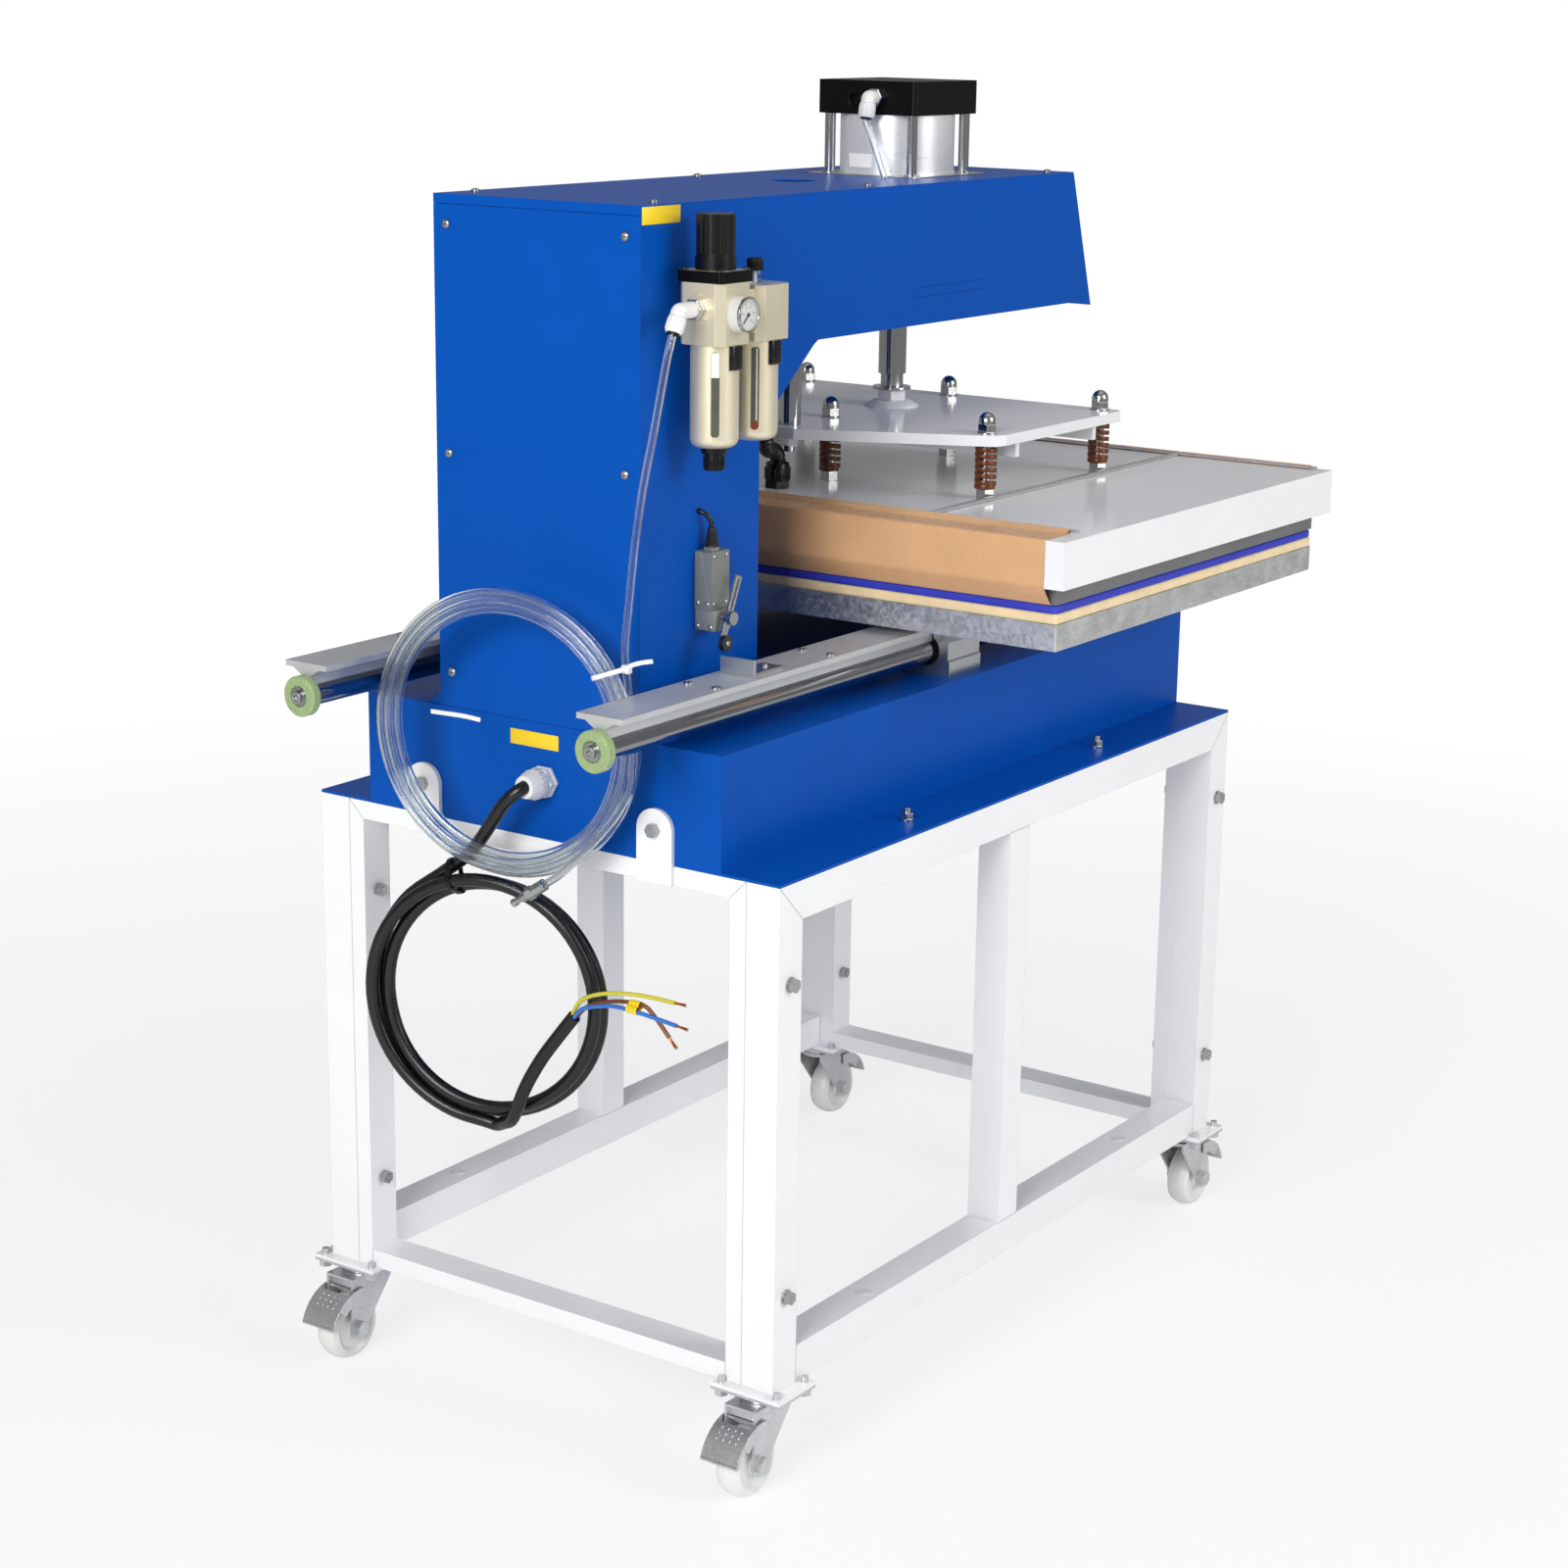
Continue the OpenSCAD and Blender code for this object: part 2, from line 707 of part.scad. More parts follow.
// Casters: each is drawn at the floor under its swivel, with the wheel towards -Y
module at_caster(i) {
    x = [1, -1, 1, -1][i] * swivel_x;
    y = [swivel_rear, swivel_rear, swivel_front, swivel_front][i];
    rear() translate([x, y, 0]) rotate([0, 0, i < 2 ? 0 : 180]) children();
}
module caster_plates() {
    color("silver") for (i = [0 : 3]) at_caster(i) {
        difference() {
            union() {
                translate([0, 0, caster_h - plate_t_caster]) linear_extrude(plate_t_caster)
                    translate([-pad_x / 2, -pad_y / 2]) square([pad_x, pad_y]);
                rod_z(0, 0, caster_h - plate_t_caster - race_h, race_h, race_r);
            }
            for (a = [-1, 1], b = [-1, 1])
                rod_z(a * pad_hole_x, b * pad_hole_y, caster_h - plate_t_caster - cut, plate_t_caster + 2 * cut, bolt_r);
        }
        for (a = [-1, 1], b = [-1, 1]) translate([a * pad_hole_x, b * pad_hole_y, 0]) {
            rod_z(0, 0, caster_h - plate_t_caster - near, plate_t_caster + pad_t + nut_h, bolt_r - running);
            hex_z(0, 0, caster_h - plate_t_caster - near - nut_h, nut_h, nut_af);
        }
    }
}
fork_top = caster_h - plate_t_caster - race_h - near;
fork_in = wheel_w / 2 + fork_gap;
module fork_leg() {
    difference() {
        union() {
            polygon([[race_r, fork_top], [-race_r - caster_trail * half, fork_top],
                [-caster_trail - axle_boss_r, wheel_r], [-caster_trail + axle_boss_r, wheel_r],
                [race_r, fork_top - 2 * fork_top_h]]);
            translate([-caster_trail, wheel_r]) circle(axle_boss_r);
        }
        translate([-caster_trail, wheel_r]) circle(axle_r + running);
        translate(pedal_pin()) circle(pin_r + running);
    }
}
function pedal_r() = wheel_r + pedal_gap;
pedal_pin_r = pedal_r() - pin_r - near;
function pedal_pin() = [-caster_trail + pedal_pin_r * cos(pedal_pin_angle),
    wheel_r + pedal_pin_r * sin(pedal_pin_angle)];
module caster_fork(i) {
    color("silver") at_caster(i) {
        rod_z(0, 0, fork_top - fork_top_h, fork_top_h, race_r);
        both_sides() along_x(fork_in, fork_t) fork_leg();
        block([-fork_in - fork_t, -race_r - caster_trail * half, fork_top - fork_t],
            [fork_in + fork_t, race_r, fork_top]);
        rod_x(-fork_in - fork_t - nut_h, -caster_trail, wheel_r, 2 * (fork_in + fork_t + nut_h), axle_r);
        both_sides() hex_x(fork_in + fork_t, -caster_trail, wheel_r, nut_h, nut_af + bolt_r);
    }
}
module caster_wheel(i) {
    hub_w = fork_in - near;
    tread = wheel_w / 2;
    crown = wheel_r * 0.12;
    color("white") at_caster(i) translate([0, -caster_trail, wheel_r]) rotate([0, 90, 0]) rotate_extrude()
        polygon([[axle_r + running, -hub_w], [axle_boss_r, -hub_w], [axle_boss_r, -tread * 0.8],
            [wheel_r * 0.66, -tread * 0.7], [wheel_r * 0.72, -tread * 0.95], [wheel_r - 2 * crown, -tread],
            [wheel_r - crown * 0.7, -tread * 0.82], [wheel_r - crown * 0.15, -tread * 0.45], [wheel_r, -tread * 0.2],
            [wheel_r, tread * 0.2], [wheel_r - crown * 0.15, tread * 0.45], [wheel_r - crown * 0.7, tread * 0.82],
            [wheel_r - 2 * crown, tread], [wheel_r * 0.72, tread * 0.95], [wheel_r * 0.66, tread * 0.7],
            [axle_boss_r, tread * 0.8], [axle_boss_r, hub_w], [axle_r + running, hub_w]]);
}
// A part of a ring round the wheel's axle, from one angle to another
module sector(r0, r1, a0, a1) {
    step = (a1 - a0) / 6;
    polygon(concat([for (k = [0 : 6]) r1 * [cos(a0 + k * step), sin(a0 + k * step)]],
        [for (k = [6 : -1 : 0]) r0 * [cos(a0 + k * step), sin(a0 + k * step)]]));
}
module caster_pedal(i) {
    cheek = fork_in + fork_t + fork_gap / 2;
    r0 = pedal_r();
    color("silver") at_caster(i) {
        translate([0, -caster_trail, wheel_r]) {
            along_x(-cheek - pedal_t, 2 * (cheek + pedal_t)) sector(r0, r0 + pedal_t, pedal_from, pedal_to);
            both_sides() along_x(cheek, pedal_t)
                sector(r0 - 4 * pin_r, r0 + pedal_t, pedal_pin_angle - pedal_cheek_turn, (pedal_from + pedal_to) / 2);
        }
        p = pedal_pin();
        rod_x(-cheek - pedal_t / 2, p[0], p[1], 2 * cheek + pedal_t, pin_r);
    }
}

// Base and column
module base_housing() {
    x = base_w / 2;
    color("royalblue") rear() difference() {
        union() {
            block([-x, 0, stand_h], [x, stand_l, base_top]);
            block([-stand_w / 2, 0, stand_h], [stand_w / 2, stand_l, stand_h + sheet_t]);
        }
        block([-x + sheet_t, sheet_t, stand_h - cut], [x - sheet_t, stand_l - sheet_t, base_top - sheet_t]);
        block([-column_x + foot_r, 2 * sheet_t + foot_r, base_top - sheet_t - cut],
            [column_x - foot_r, column_d - foot_r, base_top + cut]);
        both_sides() {
            base_bolt_places() rod_z(0, 0, stand_h - cut, sheet_t + 2 * cut, bolt_r + bolt_gap);
            rod_y(tab_x, -cut, tab_hole_z, sheet_t + 2 * cut, tab_bolt_r + bolt_gap);
        }
        rod_y(cable_gland_x, -cut, cable_gland_z, sheet_t + 2 * cut, cable_r + 3 * running);
    }
}
side_top = lid_z - lid_t;
// Outline of the column and arm from the side, set in by t all round but open where a cover goes
module arm_outline(t) {
    over = t > 0 ? 2 * cut : 0;
    polygon([[t > 0 ? -cut : cover_t, base_top - over], [column_d - t, base_top - over],
        [column_d - t, arm_z - gusset_z + t * half], [column_d + gusset_y * 0.93 - t * half, arm_z - gusset_z * 0.05 + t],
        [column_d + gusset_y + t, arm_z + t], [arm_low_y - arm_lip_y, arm_z + t],
        [arm_low_y - t - 2 * t * front_slope, arm_z - (t > 0 ? -t : arm_lip_z)],
        [arm_top_y + front_slope * lid_t - t, side_top + over], [t > 0 ? -cut : cover_t, side_top + over]]);
}
// A hollow corner between a standing and a lying plate
module foot_fillet() {
    difference() {
        square(foot_r);
        translate([foot_r, foot_r]) circle(foot_r);
    }
}
module column_housing() {
    color("royalblue") rear() {
        difference() {
            along_x(-column_x, column_w) arm_outline(0);
            along_x(-column_x + sheet_t, column_w - 2 * sheet_t) arm_outline(sheet_t);
            rod_z(0, cyl_y, arm_z - cut, sheet_t + 2 * cut, rod_hole_r);
            rod_z(0, guide_y, arm_z - cut, sheet_t + 2 * cut, guide_hole_r - 2 * sheet_t);
            rod_y(0, column_d, conduit_z, gusset_y, conduit_hole_r);
            both_sides() {
                for (z = [groove_z, groove_z + groove_gap]) translate([column_x - groove_d, groove_y, z])
                    cube([groove_d + cut, groove_l, groove_w]);
            }
            rod_x(column_x - sheet_t - cut, switch_exit[0], switch_exit[1], sheet_t + 2 * cut, switch_cable_r + near);
        }
        both_sides() {
            along_y(cover_t, sheet_t) translate([column_x, base_top]) foot_fillet();
            along_x(column_x - sheet_t, sheet_t) translate([column_d, base_top]) foot_fillet();
            difference() {
                block([column_x - 2 * screw_in, cover_t, base_top],
                    [column_x - sheet_t, cover_t + sheet_t, side_top - lip_h]);
                for (z = cover_screw_z)
                    rod_y(column_x - screw_in, -cut, z, cover_t + sheet_t + 2 * cut, screw_shank_r + bolt_gap);
            }
        }
    }
}
module rear_cover() {
    color("royalblue") rear() difference() {
        along_y(0, cover_t) translate([-column_x, base_top + near])
            square([column_w, lid_z - lip_h - base_top - 2 * near]);
        both_sides() for (z = cover_screw_z)
            rod_y(column_x - screw_in, -cut, z, cover_t + 2 * cut, screw_shank_r + bolt_gap);
    }
}
module lid() {
    color("royalblue") rear() difference() {
        union() {
            block([-column_x, 0, side_top], [column_x, arm_top_y, lid_z]);
            block([-column_x, 0, lid_z - lip_h], [column_x, lip_t, lid_z]);
        }
        translate([0, 0, side_top - cut]) linear_extrude(lid_t + 2 * cut) {
            round_rect([-lid_opening / 2, cyl_y - lid_opening / 2], [lid_opening / 2, cyl_y + lid_opening / 2], lid_opening_r);
            translate([0, guide_y]) circle(guide_hole_r);
            translate(hose_hole) circle(hose_r + 2 * near);
        }
        both_sides() for (y = lid_screw_y)
            rod_z(column_x - screw_in, y, side_top - cut, lid_t + 2 * cut, screw_shank_r + bolt_gap);
    }
}

// Cylinder
module cylinder_base() {
    low = cyl_top - cyl_plate_t;
    color("silver") rear() {
        difference() {
            translate([0, 0, low]) linear_extrude(cyl_plate_t)
                round_rect([-cyl_plate / 2, cyl_y - cyl_plate / 2], [cyl_plate / 2, cyl_y + cyl_plate / 2], cap_edge_r);
            rod_z(0, cyl_y, low - cut, cyl_plate_t + 2 * cut, rod_r + running);
        }
        both_sides() block([cyl_plate / 2 - cyl_leg_t, cyl_y - cyl_plate / 2, arm_z + sheet_t],
            [cyl_plate / 2, cyl_y + cyl_plate / 2, low]);
        translate([0, cyl_y, arm_z - bush_flange_t]) bush(rod_r, bush_flange_t + bush_wall + sheet_t);
        translate([0, guide_y, arm_z - bush_flange_t]) bush(guide_r, guide_bush_h);
    }
}
// A flanged bush: its neck goes up through the arm's floor, and its flange lies under the floor
module bush(r, h) {
    difference() {
        union() {
            cylinder(r = bush_flange_r - near, h = bush_flange_t);
            cylinder(r = min(r + bush_neck, rod_hole_r - bush_room), h = h);
        }
        translate([0, 0, -cut]) cylinder(r = r + running, h = h + 2 * cut);
    }
}
module cylinder_barrel() {
    color("silver") rear() translate([0, cyl_y, cyl_top]) {
        difference() {
            cylinder(r = bore_r + barrel_wall, h = barrel_h);
            translate([0, 0, -cut]) cylinder(r = bore_r, h = barrel_h + 2 * cut);
        }
        for (a = [-1, 1], b = [-1, 1]) translate([a * tie_at, b * tie_at, 0]) {
            cylinder(r = tie_r, h = barrel_h);
        }
    }
}
module cylinder_cap() {
    z = cyl_top + barrel_h;
    side = cap_side / 2;
    color("#151517") rear() difference() {
        translate([0, cyl_y, z]) linear_extrude(cap_h) round_rect([-side, -side], [side, side], cap_edge_r);
        rod_y(cap_port_x, cyl_y - side - cut, z + cap_port_z, elbow_r + cut, elbow_r);
        rod_y(-cap_port_x, cyl_y - side - cut, z + cap_port_z - elbow_r / 2, 2 * cut + gauge_lip, elbow_r);
        for (a = [-1, 1], b = [-1, 1]) rod_z(a * tie_at, cyl_y + b * tie_at, z + cap_h - tie_r, tie_r + cut, tie_r + cut);
    }
}
module cylinder_hose() { color("#dfe6e8") rear() tube_along(cylinder_route, hose_r, 8); }

// Press head
module press_rods() {
    top = cyl_top + piston_gap;
    color("silver") rear() {
        translate([0, cyl_y, 0]) {
            rod_z(0, 0, top, piston_t, bore_r - running);
            rod_z(0, 0, rod_neck_z, top - rod_neck_z, rod_r);
            rod_z(0, 0, plate_z + weld_h + rod_nut_h + rod_disc_t, rod_neck_z - plate_z - weld_h - rod_nut_h - rod_disc_t, rod_neck_r);
            rod_z(0, 0, plate_z + weld_h + rod_nut_h, rod_disc_t, rod_disc_r);
            hex_z(0, 0, plate_z + weld_h, rod_nut_h, rod_nut_af);
        }
        translate([0, guide_y, 0]) {
            rod_z(0, 0, plate_z, guide_top_z - plate_z, guide_r);
            rod_z(0, 0, plate_z - plate_t - guide_stud_l, plate_t + guide_stud_l, guide_stud_r);
            hex_z(0, 0, plate_z - plate_t - guide_nut_h, guide_nut_h, guide_nut_af);
        }
    }
}
module stud_places() {
    for (x = [-stud_x, 0, stud_x], y = [-stud_y, stud_y]) translate([x, cyl_y + y, 0]) children();
}
module pressure_plate() {
    r = plate_corner_r;
    color("white") rear() {
        difference() {
            translate([0, 0, plate_z - plate_t]) linear_extrude(plate_t) {
                polygon([[plate_rear_hw, plate_rear_y], [plate_hw - 2 * r, plate_shoulder_y - r * half],
                    [plate_hw - r * half, plate_shoulder_y + r * 0.3], [plate_hw, plate_shoulder_y + 2 * r],
                    [plate_hw, plate_front_y - r], [plate_hw - r, plate_front_y],
                    [-plate_hw + r, plate_front_y], [-plate_hw, plate_front_y - r], [-plate_hw, plate_shoulder_y + 2 * r],
                    [-plate_hw + r * half, plate_shoulder_y + r * 0.3], [-plate_hw + 2 * r, plate_shoulder_y - r * half],
                    [-plate_rear_hw, plate_rear_y]]);
            }
            stud_places() rod_z(0, 0, plate_z - plate_t - cut, plate_t + 2 * cut, stud_r + stud_gap);
            rod_z(0, guide_y, plate_z - plate_t - cut, plate_t + 2 * cut, guide_stud_r + running);
        }
        for (s = [-1, 1]) block([-plate_hw + rib_end, cyl_y + s * rib_y - rib_t / 2, plate_z - plate_t - rib_h],
            [plate_hw - rib_end, cyl_y + s * rib_y + rib_t / 2, plate_z - plate_t]);
        translate([0, cyl_y, plate_z]) cylinder(r1 = weld_r, r2 = rod_disc_r - rod_disc_t, h = weld_h);
    }
}
module spring_bolts() {
    low = cover_z;
    seat = heat_top + 2 * element_r + element_gap;
    head = plate_z + near / 4;
    color("silver") rear() stud_places() {
        rod_z(0, 0, seat, head + stud_nut_h - seat, stud_r);
        hex_z(0, 0, low, lower_nut_h, stud_nut_af);
        rod_z(0, 0, head, washer_t, stud_nut_af * 0.58);
        hex_z(0, 0, head + washer_t, stud_nut_h - washer_t, stud_nut_af);
        translate([0, 0, head + stud_nut_h]) intersection() {
            translate([0, 0, acorn_h - acorn_r]) sphere(acorn_r);
            cylinder(r = acorn_r, h = acorn_h);
        }
        rod_z(0, 0, head + stud_nut_h, acorn_h - acorn_r, acorn_r);
    }
}
// A pressure spring of flat wire: eight rings to a curl, six sides round the wire
spring_rings = 8;
spring_low = cover_z + lower_nut_h + near;
spring_high = plate_z - plate_t - near;
function spring_ring(i, n) =
    let (a = 360 * i / spring_rings, s = i / n,
        z = spring_low + spring_wire_h + s * (spring_high - spring_low - 2 * spring_wire_h),
        e = [cos(a), sin(a), 0])
    [for (k = [0 : loop_sides - 1]) let (w = 360 * k / loop_sides + hex_turn)
        e * (spring_r + spring_wire_r * cos(w)) + [0, 0, z + spring_wire_h * sin(w)]];
module pressure_spring() {
    n = spring_curls * spring_rings;
    skin([for (i = [0 : n]) spring_ring(i, n)], loop_sides, false);
}
echo(spring_gap = (spring_high - spring_low - 2 * spring_wire_h) / spring_curls - 2 * spring_wire_h);
module press_springs() { color("#7a3f22") rear() stud_places() mirror([0, 1, 0]) pressure_spring(); }

// Heat platen
module platen_cover() {
    color("white") rear() difference() {
        block([-cover_x, cover_rear, cover_z - cover_h], [cover_x, cover_front, cover_z]);
        block([-cover_x + cover_t_sheet, cover_rear + cover_t_sheet, cover_z - cover_h - cut],
            [cover_x - cover_t_sheet, cover_front - cover_t_sheet, cover_z - cover_t_sheet]);
        stud_places() rod_z(0, 0, cover_z - cover_t_sheet - cut, cover_t_sheet + 2 * cut, stud_r + near);
        rod_z(gland_x, gland_y, cover_z - cover_t_sheet - cut, cover_t_sheet + 2 * cut, gland_bore_r);
    }
}
heat_top = cover_z - cover_h + heat_in;
module heat_plate() {
    step = platen_l / (element_n + 1);
    color("gray") rear() {
        block([-heat_x, heat_rear, heat_z], [heat_x, heat_front, heat_top]);
        for (k = [1 : element_n]) rod_x(-heat_x + cover_out, heat_rear + k * step,
            heat_top + element_r, 2 * (heat_x - cover_out), element_r - element_gap);
        block([-heat_x + cover_out, heat_rear + cover_out, heat_top + 2 * element_r],
            [heat_x - cover_out, heat_front - cover_out, heat_top + 2 * element_r + element_gap]);
    }
}
module release_sheet() {
    t = release_t;
    g = near / 4;
    top = cover_z + g;
    low = cover_z - cover_h;
    color("#b98a62") rear() along_x(-release_x, 2 * release_x) {
        polygon([[cover_rear + flap_rear, top], [cover_rear - g, top], [cover_rear - g, low], [heat_rear - g, heat_z - g],
            [heat_front + g, heat_z - g], [cover_front + g, low], [cover_front + g, top], [cover_front - flap_front, top],
            [cover_front - flap_front, top + t], [cover_front + g + t, top + t], [cover_front + g + t, low - t],
            [heat_front + g + t * half, heat_z - g - t], [heat_rear - g - t * half, heat_z - g - t],
            [cover_rear - g - t, low - t], [cover_rear - g - t, top + t], [cover_rear + flap_rear, top + t]]);
        for (h = [[cover_rear + flap_rear, 1], [cover_front - flap_front, -1]]) difference() {
            translate([h[0] - (h[1] > 0 ? hem_l : 0), top + t * half])
                round_rect([0, 0], [hem_l, hem_h], hem_h * 0.45);
            translate([h[0] - h[1] * hem_h * 0.6, top + t * half + hem_h * half]) circle(hem_rod_r + running);
        }
    }
}
module sheet_rods() {
    rear_rod = cover_rear + flap_rear - hem_h * 0.6;
    front_rod = cover_front - flap_front + hem_h * 0.6;
    z = cover_z + near / 4 + release_t * half + hem_h * half;
    out = 9;
    color("silver") rear() {
        for (y = [rear_rod, front_rod]) rod_x(-release_x - out, y, z, 2 * (release_x + out), hem_rod_r);
        both_sides() rod_y(tension_x, cover_rear + flap_rear + near, tension_z,
            cover_front - flap_front - cover_rear - flap_rear - 2 * near, tension_r);
    }
}
module platen_gland() {
    color("#1a1a1c") rear() translate([gland_x, gland_y, cover_z]) difference() {
        union() {
            hex(2 * gland_r * 0.93, gland_h * 0.3);
            cylinder(r = gland_r, h = gland_h * 0.86);
            cylinder(r = gland_r * 0.86, h = gland_h);
        }
        translate([0, 0, -cut]) cylinder(r = gland_bore_r, h = gland_h + 2 * cut);
    }
}
// The corrugated conduit: two rings of eight sides to a rib, and a bore through it
conduit_ribs = 60;
conduit_bore = 6.2;
conduit_groove = 1.7;
conduit_end_in = 1;
function along(p, s) = let (f = s * (len(p) - 1), i = min(floor(f), len(p) - 2)) p[i] + (f - i) * (p[i + 1] - p[i]);
function smooth(p) = [for (i = [0 : len(p) - 1]) i == 0 || i == len(p) - 1 ? p[i] : (p[i - 1] + 4 * p[i] + p[i + 1]) / 6];
conduit_path = [for (i = [0 : 2 * conduit_ribs]) along(smooth(conduit_route), i / (2 * conduit_ribs))];
conduit_inner = [for (i = [conduit_ribs / 2 : -1 : 0]) along(smooth(conduit_route), 2 * i / conduit_ribs)];
module conduit() {
    ribs = [for (i = [0 : 2 * conduit_ribs]) i < 4 || i > 2 * conduit_ribs - 4 ? conduit_r - conduit_end_in :
        conduit_r - (i % 2) * conduit_groove];
    outer = tube_rings(conduit_path, ribs, 8);
    inner = tube_rings([for (i = [0 : conduit_ribs / 2]) conduit_inner[conduit_ribs / 2 - i]], conduit_bore, 8);
    color("#1a1a1c") rear() skin(concat(outer, [for (i = [len(inner) - 1 : -1 : 0]) inner[i]]), 8, true);
}

// Table
module soft_slab(z, h, corner) {
    translate([0, 0, z]) linear_extrude(h) round_rect([-heat_x, heat_rear], [heat_x, heat_front], corner);
}
module silicone_pad() { color("#2a35b0") rear() soft_slab(pad_z - pad_h, pad_h, soft_corner_r); }
module felt_layer() { color("#efd8a8") rear() soft_slab(felt_z - felt_h, felt_h, soft_corner_r * half); }
module table_plate() {
    color("silver") rear() difference() {
        union() {
            soft_slab(table_low, table_t, cut);
            for (s = bar_y_shares) block([-rail_x - flange_w / 2, heat_rear + s * platen_l, flange_z],
                [rail_x + flange_w / 2, heat_rear + s * platen_l + bar_w, table_low]);
        }
        both_sides() for (s = bar_y_shares, y = [0.25, 0.75]) rod_z(rail_x, heat_rear + s * platen_l + y * bar_w,
            flange_z - cut, table_low - flange_z + table_t / 2, rail_screw_r);
    }
}
module rail_profile() {
    polygon([[-flange_w / 2, flange_z], [flange_w / 2, flange_z], [flange_w / 2, flange_z - flange_t],
        [web_foot_w / 2, flange_z - flange_t], [web_w / 2, flange_z - flange_t - web_foot_h],
        [web_w / 2, rail_z], [-web_w / 2, rail_z], [-web_w / 2, flange_z - flange_t - web_foot_h],
        [-web_foot_w / 2, flange_z - flange_t], [-flange_w / 2, flange_z - flange_t]]);
}
module support_rails() {
    l = rail_front + rail_back;
    color("silver") rear() both_sides() {
        difference() {
            along_y(-rail_back, l) translate([rail_x, 0]) difference() {
                rail_profile();
                translate([0, rail_z]) circle(shaft_r);
            }
            for (y = [25 : rail_screw_pitch : rail_front - tube], a = [-1, 1])
                rod_z(rail_x + a * rail_screw_x, y, flange_z - flange_t - cut, flange_t + 2 * cut, rail_screw_r);
        }
        rod_y(rail_x, -rail_back, rail_z, l, shaft_r);
    }
}
module rail_bumpers() {
    color("#b6cf7a") rear() both_sides() {
        difference() {
            rod_y(rail_x, -rail_back - bumper_t, rail_z, bumper_t, bumper_r);
            rod_y(rail_x, -rail_back - bumper_t - cut, rail_z, bumper_t + 2 * cut, bolt_r + running);
        }
        rod_y(rail_x, -rail_back - bumper_t - bumper_screw_h, rail_z, bumper_screw_h, bumper_screw_r);
        rod_y(rail_x, -rail_back - bumper_t, rail_z, bumper_t, bolt_r);
        difference() {
            rod_y(rail_x, rail_front, rail_z, bumper_t, bumper_r);
            rod_y(rail_x, rail_front - cut, rail_z, bumper_t + 2 * cut, bolt_r + running);
        }
        rod_y(rail_x, rail_front, rail_z, bumper_t + bumper_screw_h, bolt_r);
    }
}
module block_outline() {
    x = block_w / 2;
    difference() {
        polygon([[-x, 0], [x, 0], [x, block_h * 0.36], [x - fork_gap, block_h * 0.4], [x - fork_gap, block_h - block_cut],
            [x - block_cut, block_h], [-x + block_cut, block_h], [-x + fork_gap, block_h - block_cut],
            [-x + fork_gap, block_h * 0.4], [-x, block_h * 0.36]]);
        translate([0, block_axis_h]) circle(shaft_r + running);
        translate([-block_slot_w / 2, block_axis_h]) square([block_slot_w, block_h]);
    }
}
module bearing_blocks() {
    color("silver") rear() both_sides() for (y = [block_rear_y, block_front_y]) difference() {
        along_y(y, block_l) translate([rail_x, base_top]) block_outline();
        for (e = [y - cut, y + block_l - block_cut * half]) along_y(e, block_cut * half + cut)
            translate([rail_x, base_top + block_axis_h]) circle(shaft_r + block_cut * half);
    }
}
module trip_bracket() {
    w = trip_w / 2;
    color("silver") rear() {
        block([rail_x - w, trip_y, flange_z], [rail_x + w, trip_y + trip_t, flange_z + trip_h]);
        difference() {
            block([rail_x - trip_foot_w / 2 + bolt_r, trip_y, flange_z], [rail_x + trip_foot_w / 2 + bolt_r, trip_y + trip_foot_l, flange_z + trip_t]);
            rod_z(rail_x + bolt_r, trip_y + trip_foot_l * 0.75, flange_z - cut, trip_t + 2 * cut, rail_screw_r);
        }
        rod_z(rail_x + bolt_r, trip_y + trip_foot_l * 0.75, flange_z, trip_t + screw_h, rail_screw_r - running);
    }
}
module table_handle() {
    z = table_low + table_t / 2;
    y = heat_front;
    color("#1a1a1c") rear() {
        rod_x(-handle_w / 2, y + handle_out - handle_r, z, handle_w, handle_r);
        both_sides() rod_y(handle_w / 2 - handle_r, y, z, handle_out - handle_r, handle_r);
    }
}

// Air unit
module unit_outline() {
    w = unit_w / 2;
    c = unit_edge;
    polygon([[w, w - c], [w - c, w], [-w + c, w], [-w, w - c], [-w, -w + c], [-w + c, -w], [w - c, -w], [w, -w + c]]);
}
module at_filter() { rear() translate([unit_x, unit_y, unit_z]) children(); }
module at_lubricator() { rear() translate([unit_x, unit_y + unit_gap, unit_z]) children(); }
module air_unit_body() {
    color("#c9bf9a") {
        at_filter() {
            difference() {
                linear_extrude(unit_h) unit_outline();
                translate([unit_w / 2 - gauge_lip * 2, 0, gauge_z - unit_z]) rotate([0, 90, 0])
                    cylinder(r = gauge_r * half, h = unit_w);
            }
            translate([0, 0, unit_h]) linear_extrude(bonnet_h) round_rect([-unit_w / 2, -unit_w / 2],
                [unit_w / 2, unit_w / 2], unit_edge);
            translate([column_x - unit_x, unit_gap / 2 - unit_w * 0.2, 0])
                cube([unit_x - unit_w / 2 - column_x + unit_edge, unit_w * 0.4, unit_h - lub_drop]);
            translate([-unit_w * 0.35, unit_w / 2, unit_h * 0.15])
                cube([unit_w * 0.7, unit_gap - unit_w, unit_h * 0.7]);
        }
        at_lubricator() linear_extrude(unit_h - lub_drop) unit_outline();
        at_filter() translate([unit_w / 2, 0, gauge_z - unit_z]) rotate([0, 90, 0]) {
            difference() {
                cylinder(r = gauge_r, h = gauge_t);
                translate([0, 0, gauge_t - gauge_lip]) cylinder(r = gauge_r - gauge_lip, h = gauge_lip + cut);
            }
        }
    }
}
